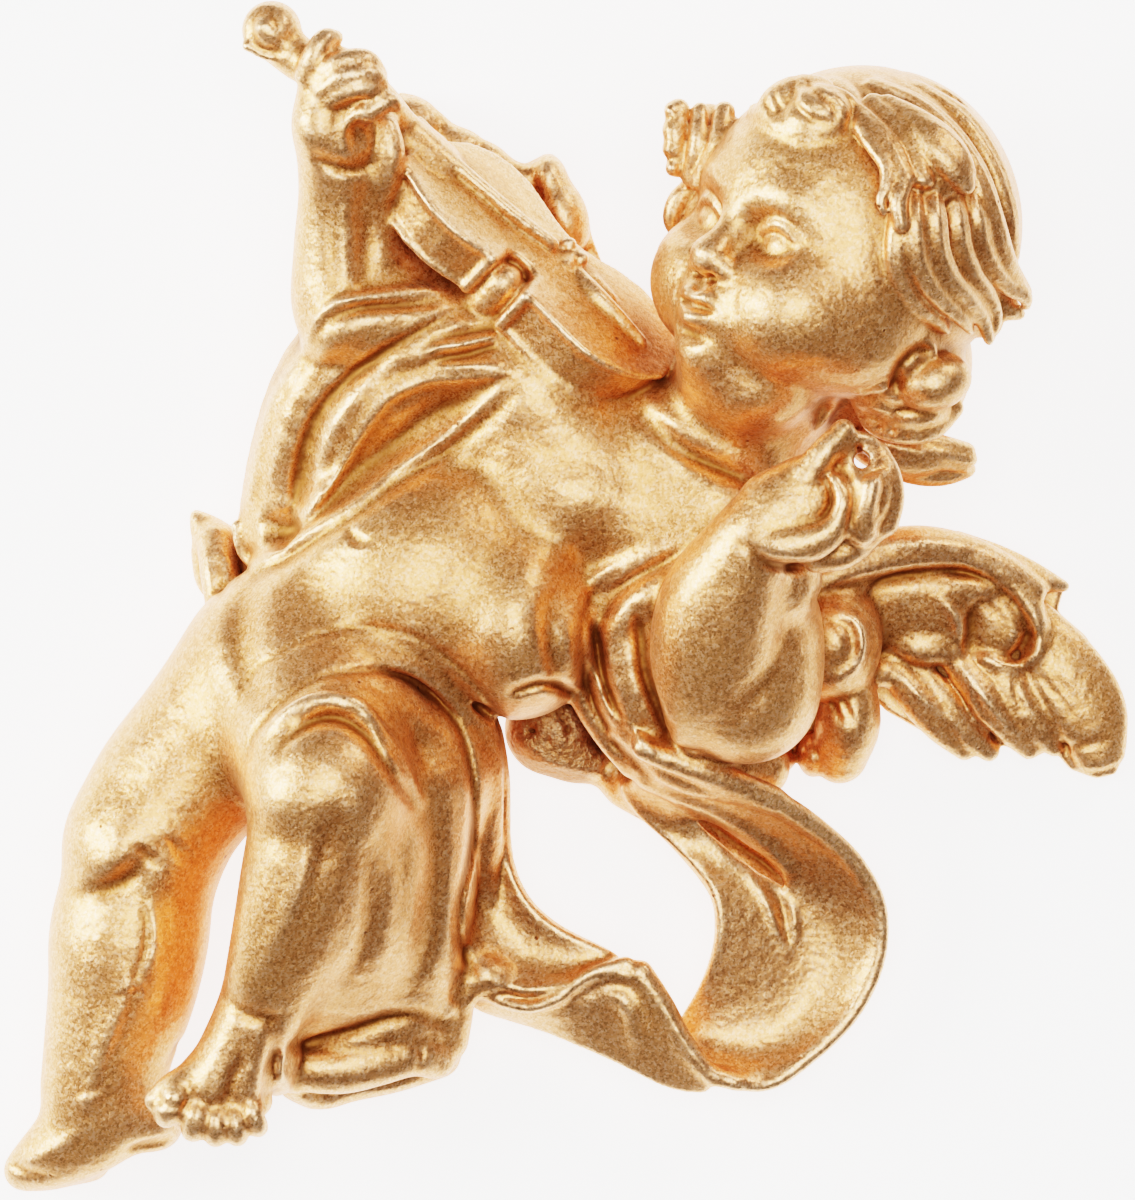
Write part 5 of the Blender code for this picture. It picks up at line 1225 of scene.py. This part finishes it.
def modelled(name, fineness):
    """The clay for one piece, with a margin of its neighbours' all round."""
    (x0, x1), (y0, y1), share = PIECES[name]
    clay = Clay((x0 - MARGIN, y0 - MARGIN, FLOOR), (x1 + MARGIN, y1 + MARGIN, TOP), fineness * share)
    for shape in MODELLED:
        shape(clay)
    clay.soften()
    return clay


def cut_to_plan(clay, name):
    """Cuts a piece's clay to its rectangle and its flat back, and closes it at the block's edges."""
    for axis, (low, high) in enumerate(PIECES[name][:2]):
        if not open_side(axis, low):
            clay.trim(axis, low - OVERLAP, -1, 0.5)
        if not open_side(axis, high):
            clay.trim(axis, high + OVERLAP, 1, 0.5)
    clay.trim(2, 0.0, -1, 0.4)
    clay.field[0], clay.field[-1] = FAR, FAR
    clay.field[:, 0], clay.field[:, -1] = FAR, FAR
    clay.field[:, :, 0] = FAR


def meshed(clay, name):
    """The clay's surface as a mesh of four-sided faces that point outwards."""
    grid = openvdb.FloatGrid(FAR)
    grid.copyFromArray(clay.field)
    points, quads = grid.convertToQuads(0.0)
    points = clay.low + clay.cell * points.astype(float)
    a, b, c = (points[quads[:, i]] for i in (0, 1, 2))
    if (np.cross(b - a, c - a) * (a - points.mean(axis=0))).sum() < 0:
        quads = quads[:, ::-1]
    mesh = bpy.data.meshes.new(name)
    mesh.vertices.add(len(points))
    mesh.vertices.foreach_set("co", (points * MM).astype(np.float32).ravel())
    mesh.loops.add(4 * len(quads))
    mesh.loops.foreach_set("vertex_index", quads.astype(np.int32).ravel())
    mesh.polygons.add(len(quads))
    mesh.polygons.foreach_set("loop_start", np.arange(0, 4 * len(quads), 4, dtype=np.int32))
    mesh.update(calc_edges=True)
    mesh.validate()
    drop_crumbs(mesh)
    mesh.shade_smooth()
    return mesh


def drop_crumbs(mesh):
    """Drops any loose crumb of clay."""
    bm = bmesh.new()
    bm.from_mesh(mesh)
    left, shells = set(bm.verts), []
    while left:
        seed = left.pop()
        shell, front = [seed], [seed]
        while front:
            around = [e.other_vert(v) for v in front for e in v.link_edges]
            front = []
            for v in around:
                if v in left:
                    left.discard(v)
                    front.append(v)
            shell += front
        shells.append(shell)
    shells.sort(key=len)
    crumbs = [v for shell in shells[:-1] if len(shell) < CRUMB for v in shell]
    if crumbs:
        bmesh.ops.delete(bm, geom=crumbs, context="VERTS")
        bm.to_mesh(mesh)
    bm.free()


def cast_piece(name, fineness, material):
    """Models a piece, meshes it and keeps how deep each point lies in narrow and in broad hollows."""
    clay = modelled(name, fineness)
    depths = [(label, blurred(clay.field, max(1, round(width / clay.cell)))) for label, width in HOLLOWS]
    cut_to_plan(clay, name)
    mesh = meshed(clay, name)
    points = np.empty(3 * len(mesh.vertices), np.float32)
    mesh.vertices.foreach_get("co", points)
    points = points.reshape(-1, 3).astype(float) / MM
    for label, field in depths:
        values = sampled(field, clay.low, clay.cell, points).astype(np.float32)
        mesh.attributes.new(label, "FLOAT", "POINT").data.foreach_set("value", values)
    mesh.materials.append(material)
    piece = bpy.data.objects.new(name, mesh)
    bpy.context.scene.collection.objects.link(piece)
    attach(piece, "root")
    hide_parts("cherub")
    return piece


# ---------------------------------------------------------------- finishes


class Value:
    """A number socket that takes part in Python sums."""

    def __init__(self, board, socket):
        self.board, self.socket = board, socket

    def sum(self, operation, *others, clamp=False):
        node = self.board.tree.nodes.new("ShaderNodeMath")
        node.operation, node.use_clamp = operation, clamp
        for slot, value in zip(node.inputs, others):
            self.board.join(value, slot)
        return Value(self.board, node.outputs[0])

    def __add__(self, other):
        return self.sum("ADD", self, other)

    __radd__ = __add__

    def __sub__(self, other):
        return self.sum("SUBTRACT", self, other)

    def __rsub__(self, other):
        return self.sum("SUBTRACT", other, self)

    def __mul__(self, other):
        return self.sum("MULTIPLY", self, other)

    __rmul__ = __mul__

    def __neg__(self):
        return self.sum("MULTIPLY", self, -1.0)

    def clamped(self):
        return self.sum("ADD", self, 0.0, clamp=True)

    def above(self, low, high):
        """0 below `low`, 1 above `high`, smooth between."""
        return self.board.node("ShaderNodeMapRange", {"interpolation_type": "SMOOTHSTEP"},
                               Value=self, **{"From Min": low, "From Max": high})


class Board:
    """A material's nodes."""

    PLACE = 3  # the output of Texture Coordinate that gives Object coordinates

    def __init__(self, name):
        self.material = bpy.data.materials.new(name)
        self.material.use_nodes = True
        self.tree = self.material.node_tree
        self.tree.nodes.clear()
        self.output = self.tree.nodes.new("ShaderNodeOutputMaterial")

    def join(self, value, socket):
        if isinstance(value, Value):
            self.tree.links.new(value.socket, socket)
        else:
            socket.default_value = value

    def node(self, kind, settings=None, output=0, **values):
        """One node: its settings first, then its sockets by name, or by `_` and number."""
        node = self.tree.nodes.new(kind)
        for key, value in (settings or {}).items():
            setattr(node, key, value)
        for key, value in values.items():
            self.join(value, node.inputs[int(key[1:]) if key[0] == "_" else key])
        return Value(self, node.outputs[output])

    def place(self):
        return self.node("ShaderNodeTexCoord", output=self.PLACE)

    def noise(self, size, detail=2.0, rough=0.5):
        """Noise whose lumps are about `size` millimetres."""
        return self.node("ShaderNodeTexNoise", Vector=self.place(), Scale=1 / (size * MM), Detail=detail,
                         Roughness=rough)

    def cells(self, size, output=0):
        """Cells about `size` millimetres apart: how far a middle is, or with output 1 their shades."""
        return self.node("ShaderNodeTexVoronoi", {"feature": "F1"}, output=output, Vector=self.place(),
                         Scale=1 / (size * MM), Randomness=1.0)

    def distance(self, point):
        """How far a place is from a point, in metres."""
        return self.node("ShaderNodeVectorMath", {"operation": "DISTANCE"}, output=1,
                         _0=self.place(), _1=point)

    def attribute(self, name):
        return self.node("ShaderNodeAttribute", {"attribute_name": name}, output=2)

    def mix(self, factor, one, two):
        """One colour turning into another as the factor goes from 0 to 1."""
        return self.node("ShaderNodeMix", {"data_type": "RGBA"}, output=2, _0=factor, _6=one, _7=two)

    def finish(self, **values):
        shader = self.node("ShaderNodeBsdfPrincipled", **values)
        self.tree.links.new(shader.socket, self.output.inputs["Surface"])
        return self.material


BARE_AT = (-1.0, -17.0, 7.0)  # the middle of the dull rough patch below the waist
BARE_EDGE = (7.6, 6.2)  # its edge fades between these distances
# Dark brown painted into the small pits as painted shade, and mixed over the dull rough patch below the
# waist.
PIT_SHADE_AND_DULL_PATCH = (0.10, 0.035, 0.008, 1)


def gilt_finish(props):
    """Warm gilt paint over a sandy cast. Ridges are painted lighter, partly rubbed wear and partly painted
    highlight; hollows are painted browner, partly patina and partly painted shade; small pits here and
    there are painted dark as painted shade.
    """
    board = Board("gilt_paint")
    close, broad = board.attribute("close"), board.attribute("broad")
    # Browner deep in folds and curls: partly patina, partly painted shade where the clay closes round.
    hollow_patina_and_shade = (-close * 2.4 + -broad * 0.55).clamped()
    # Lighter on ridges: partly rubbed wear, partly painted highlight.
    raised = (close * 2.2 + 0.05).clamped()
    blotch = board.noise(11.0, 3.0, 0.55)
    fleck = board.cells(0.24, output=1) * 0.6 + board.noise(0.8, 1.0, 0.5) * 0.4
    tone = board.mix((blotch * 2.2 - 0.6).clamped(), (*props.gilt, 1), (*props.copper, 1))
    # Pale flecks at random, and ridges lightened as wear and painted highlight.
    tone = board.mix((raised * 0.6 + fleck.above(0.5, 0.72) * 0.5).clamped(), tone, (*props.rubbed_and_highlight, 1))
    # Hollows mixed towards the brown of patina and painted shade, with random dark flecks.
    tone = board.mix((hollow_patina_and_shade * 0.9 + fleck.above(0.5, 0.26) * 0.45).clamped(), tone, (*props.hollows, 1))
    # Small pits here and there, painted dark as painted shade inside them.
    pit_shade = (1 - board.cells(2.6).above(0.06, 0.13)) * board.noise(5.0, 1.0).above(0.6, 0.68)
    away = board.distance([c * MM for c in BARE_AT]) + (board.noise(3.0, 2.0) - 0.5) * (3.0 * MM)
    bare = away.above(*(edge * MM for edge in BARE_EDGE))
    # The pits' painted shade and the dull patch both take the dark brown.
    tone = board.mix((pit_shade * 0.8 + bare * 0.45).clamped(), tone, PIT_SHADE_AND_DULL_PATCH)
    rough = props.roughness + hollow_patina_and_shade * 0.18 - raised * 0.05 + (fleck - 0.5) * 0.2 + bare * 0.15
    dents = board.noise(2.2, 2.0, 0.5)
    height = fleck + dents * 1.6 - pit_shade * 0.6 + board.noise(0.9, 2.0, 0.6) * bare * 3.0
    normal = board.node("ShaderNodeBump", Strength=1.0, Distance=props.grain, Height=height)
    return board.finish(**{"Base Color": tone, "Metallic": props.metal, "Roughness": rough.clamped(),
                           "Normal": normal})


# The floor carries a painted pool of light: its middle glows and its colour is darker outside.
LIT_EDGE = (0.22, 0.10)  # metres from the middle of the floor, unlit and lit
UNLIT = 0.35  # how pale the rest of the floor is beside it


def floor_finish(props):
    """A pale floor with a painted pool of light: it glows brightest round the middle and is darker in
    colour beyond.
    """
    board = Board("pale_floor")
    # Painted pool of light: glow inside the edge, a darker colour outside it.
    lit = board.distance((0, 0, 0)).above(*LIT_EDGE)
    tone = board.mix(lit, (*(c * UNLIT for c in props.floor), 1), (*props.floor, 1))
    shine = board.mix(lit, (0, 0, 0, 1), (1, 1, 1, 1))
    return board.finish(**{"Base Color": tone, "Roughness": 0.7, "Emission Color": shine,
                           "Emission Strength": props.glow})


# ---------------------------------------------------------------- sizes and colours a user may change


class CherubSizes(bpy.types.PropertyGroup):
    """How finely the figure is modelled and how it is finished."""

    fineness: bpy.props.FloatProperty(
        name="Fineness", description="Size of a modelling cell: smaller is finer and slower", unit="LENGTH",
        default=0.34 * MM, min=0.2 * MM, max=2 * MM, precision=5)
    gilt: bpy.props.FloatVectorProperty(
        name="Gilt", description="Colour of the paint on open surfaces", subtype="COLOR", size=3,
        min=0, max=1, default=(0.85, 0.385, 0.145))
    copper: bpy.props.FloatVectorProperty(
        name="Copper", description="Colour of its redder patches", subtype="COLOR", size=3, min=0, max=1,
        default=(0.82, 0.34, 0.13))
    # Pale colour of flecks and of raised edges: partly rubbed wear, partly painted highlight.
    rubbed_and_highlight: bpy.props.FloatVectorProperty(
        name="Rubbed", description="Colour of raised edges", subtype="COLOR", size=3, min=0, max=1,
        default=(1.0, 0.65, 0.39))
    # Brown deep in folds and curls: partly patina, partly painted shade.
    hollows: bpy.props.FloatVectorProperty(
        name="Hollows", description="Colour deep in folds and curls", subtype="COLOR", size=3, min=0, max=1,
        default=(0.30, 0.12, 0.03))
    metal: bpy.props.FloatProperty(
        name="Metal", description="How much of the paint is metal powder rather than binder",
        subtype="FACTOR", default=0.9, min=0, max=1)
    roughness: bpy.props.FloatProperty(
        name="Roughness", description="How dull the gilt is", subtype="FACTOR", default=0.40, min=0, max=1)
    grain: bpy.props.FloatProperty(
        name="Grain", description="Height of the cast grain", unit="LENGTH", default=0.12 * MM, min=0,
        max=1 * MM, precision=5)


class StageSizes(bpy.types.PropertyGroup):
    """The floor, the lights and the camera."""

    floor: bpy.props.FloatVectorProperty(
        name="Floor", description="Colour of the floor", subtype="COLOR", size=3, min=0, max=1,
        default=(0.9, 0.9, 0.9))
    # The floor's middle glows as a painted pool of light.
    glow: bpy.props.FloatProperty(
        name="Glow", description="How strongly the middle of the floor shines, as lit paper does",
        default=1.8, min=0)
    camera_distance: bpy.props.FloatProperty(
        name="Camera distance", description="From the camera to the middle of the relief",
        default=2.0, unit="LENGTH")
    view_height: bpy.props.FloatProperty(
        name="View height", description="Height of the plane the camera takes in",
        default=0.150, unit="LENGTH")
    world: bpy.props.FloatProperty(
        name="Surroundings", description="Brightness of the room", default=0.06, min=0)
    exposure: bpy.props.FloatProperty(
        name="Exposure", description="How far the picture is lightened, in stops", default=0.08)


def build(*names):
    """Casts pieces in the gilt finish, which the first of them makes."""
    props = bpy.context.scene.cherub_sizes
    material = bpy.data.materials.get("gilt_paint") or gilt_finish(props)
    for name in names:
        piece = cast_piece(name, props.fineness / MM, material)
        if not len(piece.data.polygons):
            raise RuntimeError(f"{name} came out empty")


class CHERUB_OT_head(bpy.types.Operator):
    """Models the head, its curls and its face"""

    bl_idname = "cherub.head"
    bl_label = "Head and hair"

    def execute(self, context):
        build("face", "curls")
        return {"FINISHED"}


class CHERUB_OT_fiddle(bpy.types.Operator):
    """Models the violin, the hand on its neck and the wing behind it"""

    bl_idname = "cherub.fiddle"
    bl_label = "Violin and far hand"

    def execute(self, context):
        build("fiddle")
        return {"FINISHED"}


class CHERUB_OT_body(bpy.types.Operator):
    """Models the bust and the lap with their drapery"""

    bl_idname = "cherub.body"
    bl_label = "Body and lap"

    def execute(self, context):
        build("bust", "lap")
        return {"FINISHED"}


class CHERUB_OT_arm_and_wing(bpy.types.Operator):
    """Models the bow arm and the near wing"""

    bl_idname = "cherub.arm_and_wing"
    bl_label = "Bow arm and wing"

    def execute(self, context):
        build("bow_arm", "wing")
        return {"FINISHED"}


class CHERUB_OT_legs(bpy.types.Operator):
    """Models the lower legs and feet"""

    bl_idname = "cherub.legs"
    bl_label = "Legs"

    def execute(self, context):
        build("legs")
        return {"FINISHED"}


class CHERUB_OT_drapery(bpy.types.Operator):
    """Models the hem below the knee and the flying end of the ribbon"""

    bl_idname = "cherub.drapery"
    bl_label = "Hem and ribbon"

    def execute(self, context):
        build("hem", "ribbon_end")
        return {"FINISHED"}


MIDDLE = Vector((0, 0, 0.025))  # of the relief's depth
SENSOR = 36
CLIP_END = 20
FLOOR_HALF = 2.0
FLOOR_GAP = 0.0002  # between the floor and the relief's flat back
# each lamp's place, width and height, power and colour
LAMPS = (
    ("window_left", (-0.95, 0.15, 0.45), (0.4, 0.8), 15.5, (1.0, 0.985, 0.96)),
    ("window_right", (0.62, 0.68, 0.48), (0.3, 0.4), 3.5, (1.0, 0.86, 0.80)),
    ("front", (0.0, 0.10, 2.5), (1.6, 1.6), 50, (1.0, 0.98, 0.96)),
)


class CHERUB_OT_stage(bpy.types.Operator):
    """Lays the floor and sets the lights and the camera"""

    bl_idname = "cherub.stage"
    bl_label = "Floor, lights and camera"

    def execute(self, context):
        props = context.scene.cherub_stage
        bm = bmesh.new()
        bmesh.ops.create_grid(bm, x_segments=1, y_segments=1, size=FLOOR_HALF)
        bmesh.ops.translate(bm, vec=(0, 0, -FLOOR_GAP), verts=bm.verts[:])
        mesh = bpy.data.meshes.new("floor")
        bm.to_mesh(mesh)
        bm.free()
        mesh.materials.append(floor_finish(props))
        floor = bpy.data.objects.new("floor", mesh)
        context.scene.collection.objects.link(floor)

        world = bpy.data.worlds.new("room")
        world.use_nodes = True
        sky = world.node_tree.nodes["Background"].inputs
        sky["Color"].default_value = (1.0, 0.97, 0.94, 1)
        sky["Strength"].default_value = props.world
        context.scene.world = world

        for name, at, size, power, colour in LAMPS:
            lamp = bpy.data.lights.new(name, "AREA")
            lamp.shape, lamp.size, lamp.size_y = "RECTANGLE", *size
            lamp.energy, lamp.color = power, colour
            obj = bpy.data.objects.new(name, lamp)
            obj.location = at
            obj.rotation_euler = (MIDDLE - Vector(at)).to_track_quat("-Z", "Y").to_euler()
            context.scene.collection.objects.link(obj)

        camera = bpy.data.cameras.new("camera")
        camera.sensor_width = SENSOR
        camera.lens = SENSOR * props.camera_distance / props.view_height
        camera.clip_end = CLIP_END
        obj = bpy.data.objects.new("camera", camera)
        obj.location = (MIDDLE.x, MIDDLE.y, props.camera_distance + MIDDLE.z)
        context.scene.collection.objects.link(obj)
        context.scene.camera = obj
        view = context.scene.view_settings
        view.view_transform, view.look, view.exposure = "Filmic", "High Contrast", props.exposure
        return {"FINISHED"}


OPERATORS = (CHERUB_OT_head, CHERUB_OT_fiddle, CHERUB_OT_body, CHERUB_OT_arm_and_wing, CHERUB_OT_legs,
             CHERUB_OT_drapery, CHERUB_OT_stage)


class CHERUB_PT_panel(bpy.types.Panel):
    bl_idname = "CHERUB_PT_panel"
    bl_label = "Gilded cherub"
    bl_space_type = "VIEW_3D"
    bl_region_type = "UI"
    bl_category = "Cherub"

    def draw(self, context):
        for group in (context.scene.cherub_sizes, context.scene.cherub_stage):
            for name in group.__annotations__:
                self.layout.prop(group, name)
        for operator in OPERATORS:
            self.layout.operator(operator.bl_idname)


CLASSES = (CherubSizes, StageSizes, *OPERATORS, CHERUB_PT_panel)


def register():
    for cls in CLASSES:
        bpy.utils.register_class(cls)
    bpy.types.Scene.cherub_sizes = bpy.props.PointerProperty(type=CherubSizes)
    bpy.types.Scene.cherub_stage = bpy.props.PointerProperty(type=StageSizes)


def unregister():
    del bpy.types.Scene.cherub_stage
    del bpy.types.Scene.cherub_sizes
    for cls in reversed(CLASSES):
        bpy.utils.unregister_class(cls)


def main():
    register()
    for operator in OPERATORS:
        group, name = operator.bl_idname.split(".")
        getattr(getattr(bpy.ops, group), name)()


if __name__ == "__main__":
    main()
